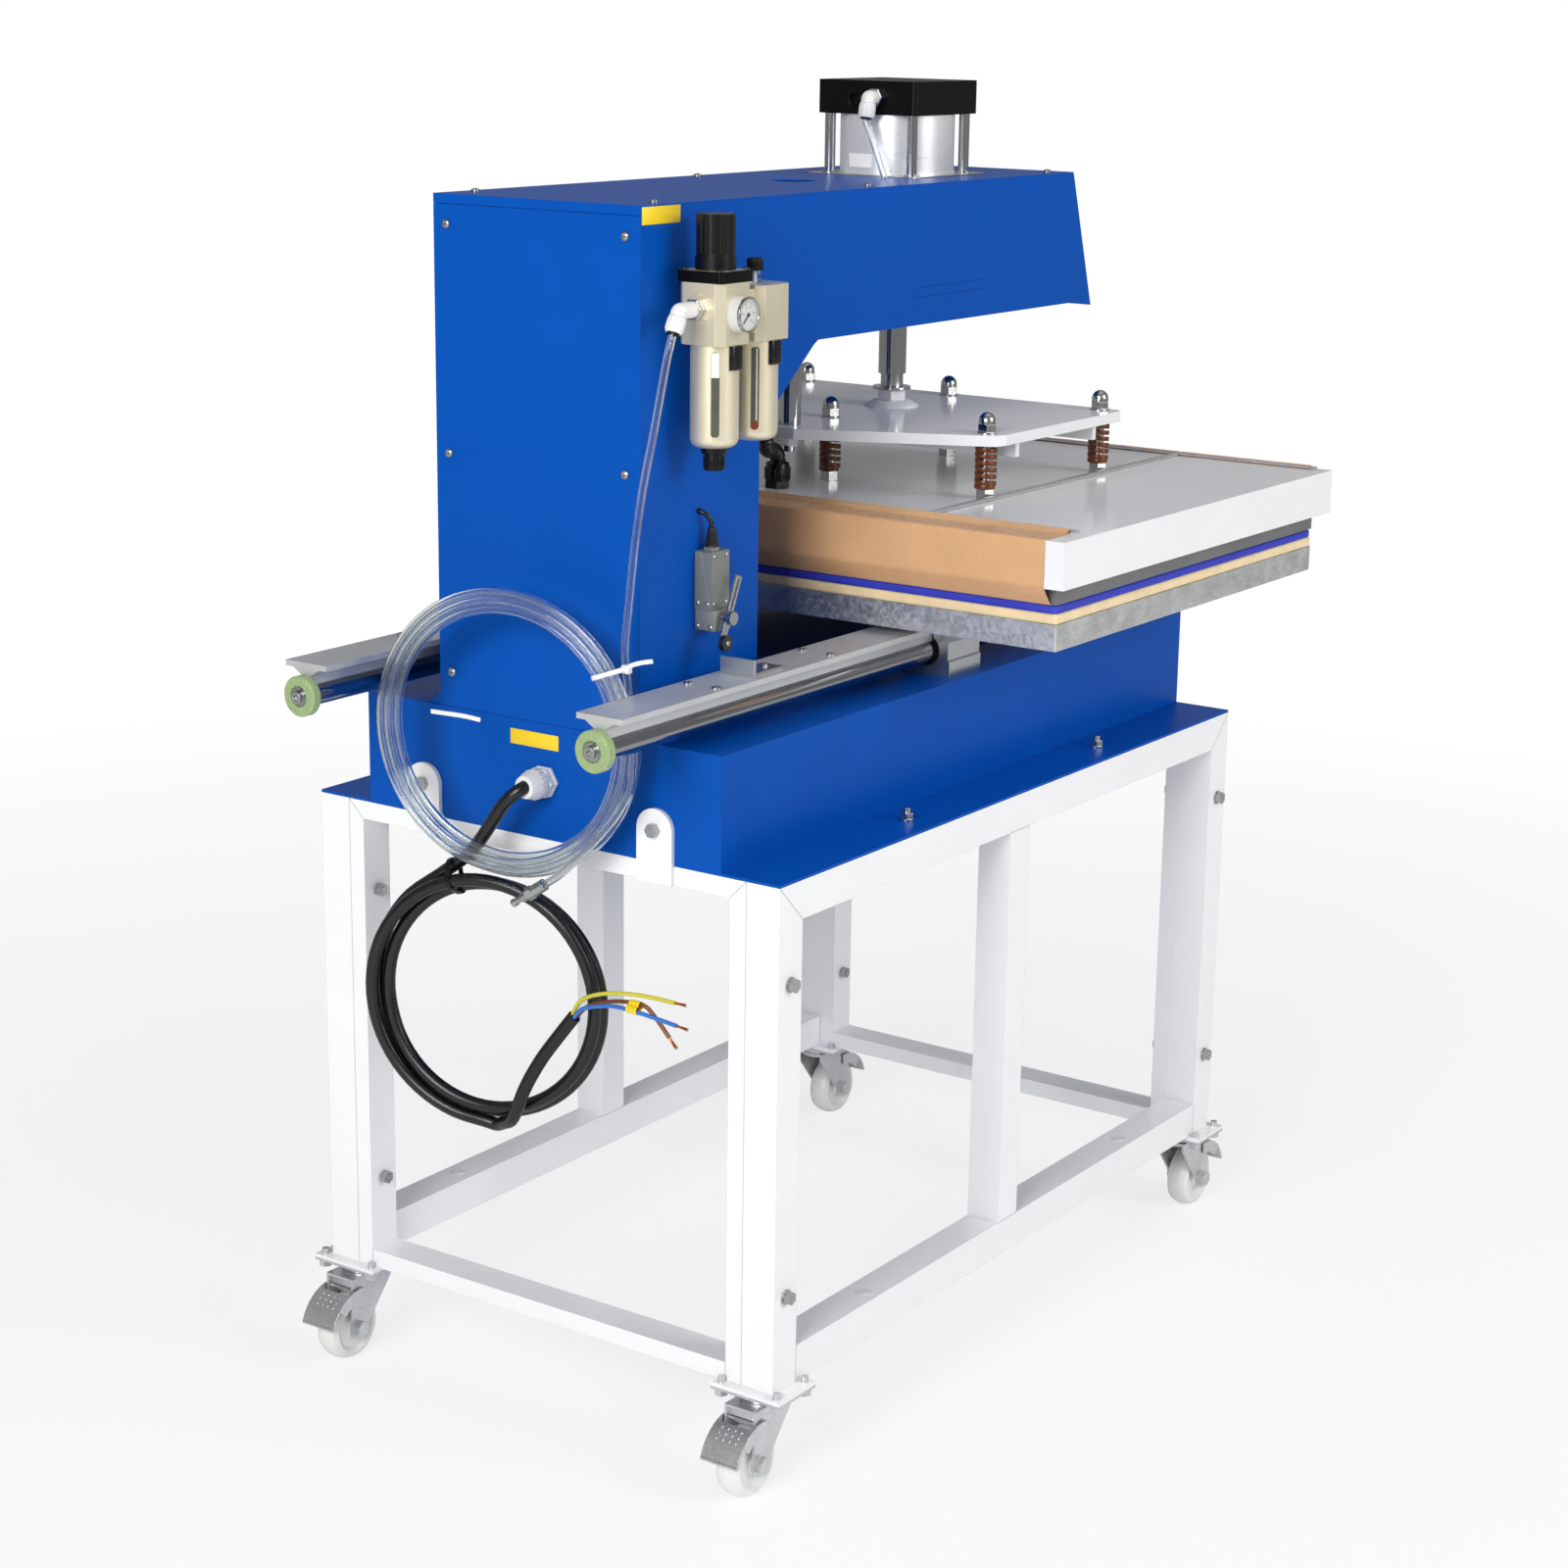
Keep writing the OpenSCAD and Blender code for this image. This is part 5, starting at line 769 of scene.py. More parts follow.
sheet_part, sheet_run = make_release_sheet()
release = piece("release_sheet_cloth", sheet_part, PTFE, "heat_platen", crease=60)
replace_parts(release, "release_sheet")
hems, seams = [], []
HEM_STEPS, STITCHES, STITCH_L = 60, 150, 3.6
for y, way in ((HEM_REAR, 1), (HEM_FRONT, -1)):
    # The cloth turns round its rod and lies down on itself, sewn twice
    top = COVER["top"]
    section = [(y + way * 2.7 * math.cos(math.radians(a)), top + 3.0 + 2.3 * math.sin(math.radians(a)))
               for a in range(-90, 151, 20)] + [(y - way * 5.5, top + 2.6), (y - way * 11, top + 1.6)]
    inner = [(y + (p - y) * 0.74, top + 3.0 + (q - top - 3.0) * 0.72) for p, q in section[:13]] \
        + [(y - way * 5.5, top + 1.9), (y - way * 11, top + 1.0)]
    hems.append(skinned([[(-SHEET_X + 2 * SHEET_X * k / HEM_STEPS, p, q + 0.12 * math.sin(k * 1.9 + p))
                          for p, q in section + inner[::-1]] for k in range(HEM_STEPS + 1)]))
    for row, z in ((5.8, top + 2.95), (9.2, top + 2.05)):
        for k in range(STITCHES):
            x = -SHEET_X + 6 + (2 * SHEET_X - 12) * k / STITCHES
            seams.append(pipe([(x + along, y - way * row, z + up) for along, up in
                               ((0, -0.3), (0.6, 0.15), (3.0, 0.15), (STITCH_L, -0.3))], 0.3, sides=5))
hem = piece("release_sheet_hems", hems, PTFE, "heat_platen", crease=50)
seam = piece("release_sheet_stitches", seams, STITCH, "heat_platen")

# ---- Felt and silicone pads on the table ----
PAD_HALF, PAD_LAYERS = 300.0, 8


def pad_slab(low, high, corner, edge, swell):
    """A cut slab of soft sheet: rounded corners, pressed edges, and sides that bulge slightly."""
    outline = []
    base = rounded(HEAT["x"], PAD_HALF, corner, 6)
    for a, b in zip(base, base[1:] + base[:1]):
        n = max(1, round((Vector(b) - Vector(a)).length / 25))
        outline += [tuple(Vector(a).lerp(Vector(b), k / n)) for k in range(n)]
    rings = []
    for k in range(PAD_LAYERS + 1):
        t = k / PAD_LAYERS
        z = low + (high - low) * t
        pressed = 1 - (1 - min(t, 1 - t, 0.25) / 0.25) ** 2
        bulge = edge * pressed ** 0.5 - edge + swell * math.sin(math.pi * t)
        rings.append([(x, AXIS_Y + y, z + 0.12 * math.sin(x / 37 + y / 23))
                      for x, y in inset(outline, -bulge)])
    # Both faces are flat, and their rings shrink towards the middle
    for ring, z in ((0, low), (PAD_LAYERS, high)):
        rings[ring] = [(p[0], p[1], z) for p in rings[ring]]
    top = [[(p[0] * s, AXIS_Y + (p[1] - AXIS_Y) * s, high) for p in rings[-1]] for s in (0.97, 0.6, 0.2)]
    bottom = [[(p[0] * s, AXIS_Y + (p[1] - AXIS_Y) * s, low) for p in rings[0]] for s in (0.2, 0.6, 0.97)]
    return skinned(bottom + rings + top)


felt = piece("felt_pad", pad_slab(866.35, 877.2, corner=4, edge=1.6, swell=0.25), FELT, "table", crease=70)
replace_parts(felt, "felt_layer")
silicone = piece("silicone_sponge_pad", pad_slab(877.4, 885.85, corner=7, edge=1.0, swell=0.15), SILICONE,
                 "table", crease=70)
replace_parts(silicone, "silicone_pad")

# ---- Pressure springs of flat wire, one on each stud ----
STUDS = [(x, y) for x in (-206, 0, 206) for y in (523, 775)]
SPRING_LOW, SPRING_HIGH, SPRING_R = 967.4, 1015.6, 9.2
SPRING_TURNS, TURN_STEPS = 7, 20
WIRE = [(-2.9, -2.4), (2.9, -2.4), (3.1, -2.0), (3.1, 2.0), (2.9, 2.4), (-2.9, 2.4), (-3.1, 2.0),
        (-3.1, -2.0)]
springs = []
for x, y in STUDS:
    rings = []
    for k in range(SPRING_TURNS * TURN_STEPS + 1):
        a = -2 * math.pi * k / TURN_STEPS
        # The end curls are closed and ground flat
        lie = min(1, max(0, (k / (SPRING_TURNS * TURN_STEPS) - 0.07) / 0.86))
        z = SPRING_LOW + 2.45 + lie * (SPRING_HIGH - SPRING_LOW - 4.9)
        rings.append([(x + (SPRING_R + p) * math.cos(a), y + (SPRING_R + p) * math.sin(a), z + q)
                      for p, q in WIRE])
    springs.append(skinned(rings))
spring = piece("pressure_spring_curls", springs, SPRING_PAINT, None, crease=35)
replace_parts(spring, "press_springs")
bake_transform(spring)

# ---- Screws, painted shade on the seams, and weld beads of the stand and the box ----
UP = Matrix.Identity(3)


def set_on(part, places, turn=UP):
    """The part at each of the places, all turned alike."""
    return joined([moved(part, at, turn) for at in places])


def strip(a, b, face, width, proud=0.12, sunk=0.3):
    """A thin line from a to b on a face that looks along face."""
    a, b, face = Vector(a), Vector(b), Vector(face)
    side = face.cross((b - a).normalized()) * width / 2
    return skinned([[p + side - sunk * face, p + side + proud * face,
                     p - side + proud * face, p - side - sunk * face] for p in (a, b)])


LEG_OUT, LEG_IN, STAND_REAR, STAND_FRONT = 302.0, 262.0, 0.0, 954.0
STAND_TOP, STAND_LOW, TUBE = 649.0, 113.0, 40.0
POST_REAR, POST_FRONT = 440.0, 480.0
PAN_R, PAN_H, PAN_X, LID_Z = 4.5, 3.8, 112.5, 1293.5
pan = screw_head(PAN_R, PAN_H)
piece("box_pan_screws", [
    set_on(pan, [(x, 0, z) for x in (-PAN_X, PAN_X) for z in (808, 1035, 1264)], TO_BACK),
    set_on(pan, [(x, y, LID_Z) for x in (-PAN_X, PAN_X) for y in (44, 419, 797)])], ZINC)
# Grey strips along the mitres and butt joints: painted shade of the gaps between the tubes
seams = []
for x, out in ((LEG_OUT, 1), (LEG_IN, -1)):
    for rear, inner in ((STAND_REAR, STAND_REAR + TUBE), (STAND_FRONT, STAND_FRONT - TUBE)):
        seams.append(strip((x, rear, STAND_TOP), (x, inner, STAND_TOP - TUBE), (out, 0, 0), 0.8))
        seams.append(strip((x, inner, STAND_LOW), (x, inner, STAND_LOW + TUBE), (out, 0, 0), 0.8))
    for z in (STAND_TOP - TUBE, STAND_LOW + TUBE):
        seams.append(strip((x, POST_REAR, z), (x, POST_FRONT, z), (out, 0, 0), 0.8))
for y, out in ((STAND_REAR, -1), (STAND_FRONT, 1)):
    seams.append(strip((LEG_IN, y, STAND_LOW), (LEG_IN, y, STAND_TOP), (0, out, 0), 0.7))
    seams.append(strip((LEG_IN, y, STAND_TOP), (LEG_IN - 20, y, STAND_TOP - 20), (0, out, 0), 0.8))
    seams.append(strip((LEG_IN - 20, y, STAND_LOW), (LEG_IN - 20, y, STAND_LOW + 20), (0, out, 0), 0.8))
piece("stand_mitre_seam_shade", mirrored(joined(seams)), SEAM_SHADE)
plug = ring_of([(7.2, -0.2), (8.6, -0.2), (8.6, 0.5), (7.9, 0.9), (7.2, 0.5)], 24)
piece("stand_hole_plugs", mirrored(set_on(joined([plug, spun([(7.4, -0.2), (7.4, 0.35), (6.9, 0.5)], 24)]),
                                          [(284, 193, 153), (284, 754, 153)])), NYLON)


def weld_bead(a, b, r):
    """A run of overlapping weld scales, painted over."""
    a, b = Vector(a), Vector(b)
    n = max(6, round((b - a).length / 1.1))
    return pipe([a.lerp(b, k / n) for k in range(n + 1)], r, sides=8,
                sizes=[1 + 0.16 * math.sin(2.1 * k) + dice.uniform(-0.07, 0.07) for k in range(n + 1)])


beads = [weld_bead((LEG_IN + 2, y, z), (LEG_OUT - 2, y, z), 1.7)
         for y in (POST_REAR, POST_FRONT) for z in (STAND_LOW + TUBE, STAND_TOP - TUBE)]
beads += [weld_bead((LEG_IN + 2, y, z), (LEG_OUT - 2, y, z), 1.5)
          for y in (STAND_REAR + TUBE, STAND_FRONT - TUBE) for z in (STAND_LOW + TUBE, STAND_TOP - TUBE)]
piece("stand_weld_beads", mirrored(joined(beads)), WHITE_PAINT, crease=80)
# Bare yellow plates, left without their words
piece("bare_yellow_plates", [box_of((130, 2, 1275), (130.4, 63, 1292), 0.1),
                             box_of((-36, -0.4, 744), (27, 0, 760), 0.1)], YELLOW_FILM)

# ---- Air unit: filter with regulator, lubricator, gauge ----
FILTER, OILER = (169.0, 68.0), (169.0, 134.0)
at_filter = Vector((FILTER[0], FILTER[1], 0))
BONNET_LOW, BONNET_HIGH, BONNET_HALF = 1220.8, 1232.25, 27.3
bonnet = moved(slab(rounded(BONNET_HALF, BONNET_HALF, 5), BONNET_LOW, BONNET_HIGH, 0.9), at_filter)
piece("regulator_bonnet", bonnet, BLACK_METAL)
corner = BONNET_HALF - 6
piece("regulator_bonnet_screws", set_on(screw_head(3.1, 2.4, depth=0.9), [
    (FILTER[0] + sx * corner, FILTER[1] + sy * corner, BONNET_HIGH)
    for sx in (-1, 1) for sy in (-1, 1)]), DARK_STEEL)


def arc_pane(axis, r, way, half_width, low, high, thick):
    """A curved plate on a round bowl, centred on a heading in the level plane."""
    mid, half = math.atan2(way[1], way[0]), half_width / r
    rings = []
    for k in range(9):
        a = mid - half + 2 * half * k / 8
        c, d = math.cos(a), math.sin(a)
        rings.append([(axis[0] + q * c, axis[1] + q * d, z)
                      for q, z in ((r - 1, low), (r + thick, low), (r + thick, high), (r - 1, high))])
    return skinned(rings)


WINDOW_WAY = (math.sin(math.radians(38)), -math.cos(math.radians(38)))
PANE_R, PANE_HALF = 23.0, 4.1
for name, bowl, low, high, thick, paint in (
        ("filter_bowl_window", FILTER, 1073, 1130, 0.3, SMOKED),
        ("filter_bowl_level", FILTER, 1130, 1154, 0.35, NYLON),
        ("oiler_bowl_window", OILER, 1081, 1154, 0.3, SMOKED),
        ("oiler_bowl_oil", OILER, 1073.5, 1081, 0.3, OIL_RED)):
    piece(name, arc_pane(bowl, PANE_R, WINDOW_WAY, PANE_HALF, low, high, thick), paint)
tube_at = (OILER[0] + 23.3 * WINDOW_WAY[0] + 1.2, OILER[1] + 23.3 * WINDOW_WAY[1] + 1.2)
piece("oiler_pickup_tube", pipe([(*tube_at, 1082), (*tube_at, 1153)], 0.7, sides=8), NYLON)
LATCH_OUT, LATCH_LOW, LATCH_HIGH = 28.35, 1136.7, 1160.8
latches = []
for cx, cy in (FILTER, OILER):
    latches.append(box_of((cx + 21, cy - 7.35, LATCH_LOW), (cx + LATCH_OUT, cy + 7.35, LATCH_HIGH), 1.2))
    for k in range(5):
        z = LATCH_LOW + 3.4 + 3.6 * k
        latches.append(box_of((cx + LATCH_OUT - 0.4, cy - 5.6, z - 0.8),
                              (cx + LATCH_OUT + 0.8, cy + 5.6, z + 0.8), 0.5))
piece("bowl_latches", latches, BLACK_PLASTIC)
INLET_Z, INLET_Y = 1196.0, 41.0
boss_at = (FILTER[0], INLET_Y + 0.5, INLET_Z)
piece("filter_inlet_boss", moved(spun([(14.8, 0), (14.8, 2.8), (14.0, 3.5), (9, 3.5)], 8), boss_at, TO_BACK),
      CHAMPAGNE, crease=30)
drain_ribs = around(box_of((9.6, -0.75, 1039.2), (10.7, 0.75, 1052), 0.3), 16)
piece("drain_cock_ribs", moved(drain_ribs, at_filter), BLACK_PLASTIC, "drain_cock")

# Sight dome of the oil feed, with a ribbed cap, in place of the plain CAD cap
DOME_LOW, DOME_R, CAP_LOW, CAP_HIGH, CAP_R = 1215.5, 7.1, 1227.0, 1239.3, 8.2
at_oiler = Vector((OILER[0], OILER[1], 0))
dome = piece("oil_sight_dome", moved(spun([(6.2, DOME_LOW), (DOME_R, DOME_LOW + 0.6), (DOME_R, CAP_LOW - 2),
                                           (6.6, CAP_LOW + 0.4)], 28), at_oiler), GLASS, "lubricator_cap")
cap = [spun([(7.4, CAP_LOW), (CAP_R - 0.5, CAP_LOW + 0.6), (CAP_R - 0.5, CAP_HIGH - 1.2), (6.4, CAP_HIGH),
             (3.0, CAP_HIGH), (2.6, CAP_HIGH - 1.5)], 28),
       around(box_of((CAP_R - 1, -0.55, CAP_LOW + 0.8), (CAP_R + 0.1, 0.55, CAP_HIGH - 1.6), 0.25), 20)]
oil_cap = piece("oil_sight_cap", moved(joined(cap), at_oiler), BLACK_PLASTIC, "lubricator_cap")
piece("oil_drip_tube", moved(spun([(1.3, DOME_LOW), (1.3, CAP_LOW + 2)], 12), at_oiler), NYLON,
      "lubricator_cap")
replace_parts(dome, "lubricator_cap")
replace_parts(oil_cap, "lubricator_cap")

# Gauge: white case, chrome bezel, printed dial with plain tick marks and figures
GAUGE_Z, GAUGE_BACK, GAUGE_FLOOR, GAUGE_R = 1191.0, 196.0, 208.0, 17.0


def on_gauge(part, out=0.0):
    """A part of the gauge, which looks along X."""
    return moved(part, (out, FILTER[1], GAUGE_Z), DIAL)


piece("gauge_case", on_gauge(ring_of([(15.1, GAUGE_BACK), (GAUGE_R + 0.3, GAUGE_BACK),
                                      (GAUGE_R + 0.3, 207.6), (15.1, 207.6)], 48)), WHITE_ABS)
piece("gauge_bezel", on_gauge(ring_of([(14.9, 207.4), (GAUGE_R + 0.45, 207.4), (GAUGE_R + 0.45, 209.8),
                                       (16.6, 210.5), (15.4, 210.3), (14.9, 209.2)], 48)), CHROME)
piece("gauge_dial", on_gauge(spun([(14.95, GAUGE_FLOOR - 0.2), (14.95, GAUGE_FLOOR + 0.1)], 48)),
      WHITE_ENAMEL)
ticks, numbers = [], []
GAUGE_START, GAUGE_SWEEP, GAUGE_STEPS = 225.0, 270.0, 25
for k in range(GAUGE_STEPS + 1):
    a = math.radians(GAUGE_START - GAUGE_SWEEP * k / GAUGE_STEPS)
    long = k % 5 == 0
    c, d = math.cos(a), math.sin(a)
    reach, width = (10.4, 0.6) if long else (11.6, 0.35)
    ticks.append(strip((12.9 * c, 12.9 * d, 0), (reach * c, reach * d, 0), (0, 0, 1), width, 0.14, 0.05))
    if long:
        numbers.append(moved(figures(str(2 * k // 5), 2.9, 0.1), (8.1 * c, 8.1 * d, 0.08)))
piece("gauge_tick_marks", on_gauge(joined(ticks + numbers), GAUGE_FLOOR + 0.1), BLACK_INK)
piece("gauge_window", on_gauge(spun([(14.9, 0), (14.9, 0.5)], 48), GAUGE_FLOOR + 1.2), GLASS)

# ---- White push-in elbows, the nipple and the cable gland ----
THREAD_HEX, THREAD_L, ELBOW_R, COLLAR_R = 19.0, 8.0, 8.0, 9.0
DROP_WAY = Vector((0, -0.4226, -0.9063))
CAP_PORT, CAP_WAY = Vector((15, 583, 1379.5)), Vector((0, -0.1908, -0.9816))


def elbow(thread, reach, way):
    """A push-in elbow: out of its thread towards the rear, round a bend, then down along way."""
    bend = thread + Vector((0, -reach, 0))
    line = smoothed([thread + Vector((0, -THREAD_L + 1, 0)), bend + Vector((0, 6, 0)),
                     bend + Vector((0, 1.6, 0)), bend + 1.6 * way, bend + 8 * way], 5)
    collar = ring_of([(4.2, 6), (COLLAR_R - 0.9, 6), (COLLAR_R, 7.2), (COLLAR_R, 19.5), (COLLAR_R - 1.1, 22),
                      (4.2, 22)], 28)
    ribs = around(box_of((COLLAR_R - 0.5, -0.6, 9), (COLLAR_R + 0.35, 0.6, 19), 0.2), 12)
    return joined([pipe(line, ELBOW_R, sides=24), moved(joined([collar, ribs]), bend, aim(way))]), bend


inlet = Vector((FILTER[0], INLET_Y - 3, INLET_Z))
inlet_elbow, inlet_bend = elbow(inlet, 28, DROP_WAY)
cap_elbow, cap_bend = elbow(CAP_PORT, 18, CAP_WAY)
nipple = moved(joined([hexagon(14, 0, 8), spun([(5.7, 8), (5.7, 16), (4.9, 19)], 24),
                       ring_of([(4.6, 17), (6.6, 17), (6.9, 18), (6.6, 20.5), (4.6, 20.5)], 24)]),
               (FILTER[0], 161, 1190), TO_Y)
gland = moved(joined([hexagon(30, 0, 5.2, 1.0), hexagon(29, 5.4, 12.25, 1.0),
                      ring_of([(7.15, 12), (15, 12), (15.2, 22), (13.2, 30), (11.6, 35), (7.15, 35)], 36),
                      around(box_of((13.4, -0.8, 13), (15.9, 0.8, 23), 0.3), 18)]), (10, 0, 711), TO_BACK)
fittings = piece("push_in_fittings", [inlet_elbow, cap_elbow, nipple, gland], NYLON, crease=35)
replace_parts(fittings, "nylon_fittings")
hexes = [moved(hexagon(THREAD_HEX, 0, THREAD_L), at, TO_BACK)
         for at in (inlet + Vector((0, 0.4, 0)), CAP_PORT)]
piece("fitting_thread_hexagons", hexes, CHROME)
releases = [moved(ring_of([(4.15, 21), (6.4, 21), (6.4, 23.4), (5.9, 24), (4.15, 24)], 24), at, aim(way))
            for at, way in ((inlet_bend, DROP_WAY), (cap_bend, CAP_WAY))]
piece("fitting_release_rings", releases, BLACK_PLASTIC)
# Second port of the cylinder, open, with a turned rim
port_rim = ring_of([(6.95, -0.2), (8.9, -0.2), (8.9, 0.7), (8.1, 1.2), (6.95, 0.8)], 32)
piece("cylinder_port_rim", moved(port_rim, (-15, 583, 1376), TO_BACK), BLACK_METAL)

# ---- Cylinder: tie rods with washers, and a bare plate on the barrel ----
TIE_AT, BARREL_LOW, BARREL_HIGH, BARREL_R = 55.0, 1294.5, 1360.5, 65.0
ties = [(sx * TIE_AT, AXIS_Y + sy * TIE_AT, 0) for sx in (-1, 1) for sy in (-1, 1)]
sleeve = spun([(6.1, BARREL_LOW), (6.1, BARREL_HIGH)], 24)
tie_washer = spun([(9.4, BARREL_LOW), (9.4, BARREL_LOW + 1.0), (8.9, BARREL_LOW + 1.4)], 28)
piece("cylinder_tie_rod_sleeves", [set_on(sleeve, ties), set_on(tie_washer, ties)], CHROME)
PLATE_WAY = (math.cos(math.radians(-98)), math.sin(math.radians(-98)))
piece("cylinder_bare_plate", arc_pane((0, AXIS_Y), BARREL_R, PLATE_WAY, 17, 1302, 1317, 0.25), WHITE_ENAMEL)

# ---- Press head: painted nut, ragged weld, nuts of the guide ----
WELD_SLOPE = [(31.8, 1027.9), (30.8, 1029.6), (28.0, 1031.2), (25.4, 1032.8), (22.6, 1034.0), (19.2, 1035.2)]
WELD_STEPS = 60
rings = []
for i, (r, z) in enumerate(WELD_SLOPE):
    ring = []
    for k in range(WELD_STEPS):
        a = 2 * math.pi * k / WELD_STEPS
        wave = r + 0.7 * math.sin(7 * a + 2 * i)
        ring.append(((wave + dice.uniform(-0.5, 0.5)) * math.cos(a),
                     AXIS_Y + (wave + dice.uniform(-0.5, 0.5)) * math.sin(a), z + dice.uniform(-0.25, 0.25)))
    rings.append(ring)
piece("press_plate_weld", skinned(rings), THICK_PAINT, "press_head", crease=80)
piece("press_rod_painted_nuts", [moved(hexagon(30.6, 1034.8, 1048.1, 1.2), (0, AXIS_Y, 0)),
                                 moved(hexagon(19.6, 1004.8, 1015.9, 0.9), (0, 441.5, 0))],
      THICK_PAINT, "press_head")

# ---- Platen gland: hexagon, ribbed neck, clamping rim ----
platen_gland = [hexagon(26, 956.2, 964.4, 0.9),
                ring_of([(9.8, 964.2), (14, 964.2), (14, 979), (13.2, 980.5), (13, 983.8), (12.2, 983.8),
                         (10.4, 972)], 36),
                around(box_of((13.6, -0.9, 966), (14.8, 0.9, 978.5), 0.3), 16)]
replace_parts(piece("platen_gland_ribbed", moved(joined(platen_gland), (-15, 441, 0)), BLACK_PLASTIC,
                  "heat_platen"), "platen_gland")

# ---- Rails: polished shafts, seals, screws and bumpers ----
RAIL_X, SHAFT_Z, SHAFT_R, RAIL_REAR, RAIL_FRONT = 188.0, 797.5, 12.53, -138.0, 928.0
piece("rail_shafts", mirrored(moved(spun([(SHAFT_R, RAIL_REAR - 0.05), (SHAFT_R, RAIL_FRONT + 0.05)], 48),
                                    (RAIL_X, 0, SHAFT_Z), TO_Y)), SHAFT, "table")
seals = [moved(ring_of([(12.9, 0), (16.7, 0), (16.7, 3.2), (15.6, 3.6), (13.4, 2.6), (12.9, 2.4)], 40),
               (RAIL_X, y, SHAFT_Z), turn)
         for rear, front in ((439.0, 504.0), (862.5, 927.5))
         for y, turn in ((rear + 3.8, TO_BACK), (front - 3.8, TO_Y))]
piece("bearing_seals", mirrored(joined(seals)), RUBBER)
piece("rail_screws", mirrored(set_on(screw_head(4.8, 2.9), [
    (RAIL_X + dx, y, 830.5) for dx in (-17.5, 17.5) for y in (25, 225, 625)])), ZINC, "table")
BUMPER_R, BUMPER_L = 21.0, 12.0
bumper = ring_of([(4.2, 0.05), (BUMPER_R - 1.2, 0.05), (BUMPER_R, 1.4), (BUMPER_R, BUMPER_L - 1.8),
                  (BUMPER_R - 1.8, BUMPER_L), (11.2, BUMPER_L), (10.4, BUMPER_L - 2.4),
                  (4.2, BUMPER_L - 2.4)], 40)
washer = ring_of([(4.1, 9.7), (9.6, 9.7), (9.6, 10.6), (9.2, 11.0), (4.1, 11.0)], 32)
head = moved(socket_head(6.6, 5.6, 5, 3.2), (0, 0, 11.0))
for name, part, paint in (("rail_bumper_discs", bumper, BUMPER),
                          ("rail_bumper_screws", joined([washer, head]), ZINC)):
    ends = joined([moved(part, (RAIL_X, RAIL_REAR, SHAFT_Z), TO_BACK),
                   moved(part, (RAIL_X, RAIL_FRONT, SHAFT_Z), TO_Y)])
    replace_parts(piece(name, mirrored(ends), paint, "table"), "rail_bumpers")

# ---- Limit switch: case with a wedge cover, head, boot, lead ----
SWITCH_LOW, SWITCH_HIGH = 890.2, 949.8
case = [box_of((130, 89.5, SWITCH_LOW), (151.4, 118.6, SWITCH_HIGH), 1.3),
        box_of((130, 90.2, 869.2), (156.6, 117.8, 891), 1.8),
        moved(hexagon(15, 949.4, 953.4, 0.8), (141, 104, 0))]
wedge = moved(slab([(149.8, 892), (152.1, 892), (152.1, 949.6), (137.4, 949.6)], -119, -88.7, 0.6),
              turn=TO_BACK)
switch_case = piece("limit_switch_case", case, GREY_CASTING)
switch_cover = piece("limit_switch_cover", wedge, GREY_CASTING)
boot = [(7.4, 953)]
for k in range(6):
    wide = 7.2 - 0.45 * k
    boot += [(wide, 954.4 + 3 * k), (wide - 1.3, 955.9 + 3 * k)]
boot += [(4.2, 972.5), (2.6, 973)]
switch_boot = piece("limit_switch_boot", moved(spun(boot, 28), (141, 104, 0)), RUBBER, crease=60)
switch_lead = piece("limit_switch_lead", pipe(smoothed(SWITCH_ROUTE, 6), 2.4, sides=14), CABLE_SKIN,
                    crease=80)
cross = screw_head(2.4, 1.5, depth=0.8)
switch_screws = piece("limit_switch_screws", [
    set_on(cross, [(152.0, y, z) for y in (93.5, 114.5) for z in (945, 897)], TO_X),
    set_on(cross, [(134.5, 89.6, 897), (146.5, 89.6, 897), (134, 90.3, 873.5), (150, 90.3, 873.5)], TO_BACK)],
    ZINC)
for obj in (switch_case, switch_cover, switch_boot, switch_lead, switch_screws):
    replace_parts(obj, "limit_switch_body")
PIVOT, TILT, LEVER_L = Vector((163, 100, 884)), math.radians(24), 26
LEVER = Matrix.Rotation(-TILT, 3, "X") @ TO_X
# Bronze clamp disc with its screw, and the bright end of the roller's pin
BRONZE = finish("sintered_bronze", "zinc_steel", "#A97B4A", 0.38, 1, 0.03, metal=1.0, mottle=0.1, patch=6)
piece("lever_clamp", moved(spun([(5.6, 3.0), (5.6, 4.6), (5.0, 5.0)], 28), PIVOT, LEVER), BRONZE,
      "limit_lever")
piece("lever_clamp_screw", moved(screw_head(3.0, 1.8, depth=0.9), PIVOT + Vector((4.9, 0, 0)), TO_X), ZINC,
      "limit_lever")
roller_at = PIVOT + Vector((9.4, -LEVER_L * math.sin(TILT), -LEVER_L * math.cos(TILT)))
piece("roller_pin_end", moved(spun([(2.9, -0.2), (2.9, 0.7), (2.2, 1.1)], 20), roller_at, TO_X), ZINC,
      "limit_lever")

# ---- Control panel: dark display, keys, two lamps ----
FRONT = Matrix(((-1, 0, 0), (0, -0.3135, 0.9496), (0, 0.9496, 0.3135)))
PANEL_AT, PANEL_UP, PANEL_T = Vector((0, 880, 1136)), 96.0, 6.0


def on_front(part, x=0.0, up=0.0, out=0.0):
    """A part on the arm's slanted front: x across it, up along its slope, out of it."""
    return moved(part, PANEL_AT + FRONT @ Vector((x, up, out)), FRONT)


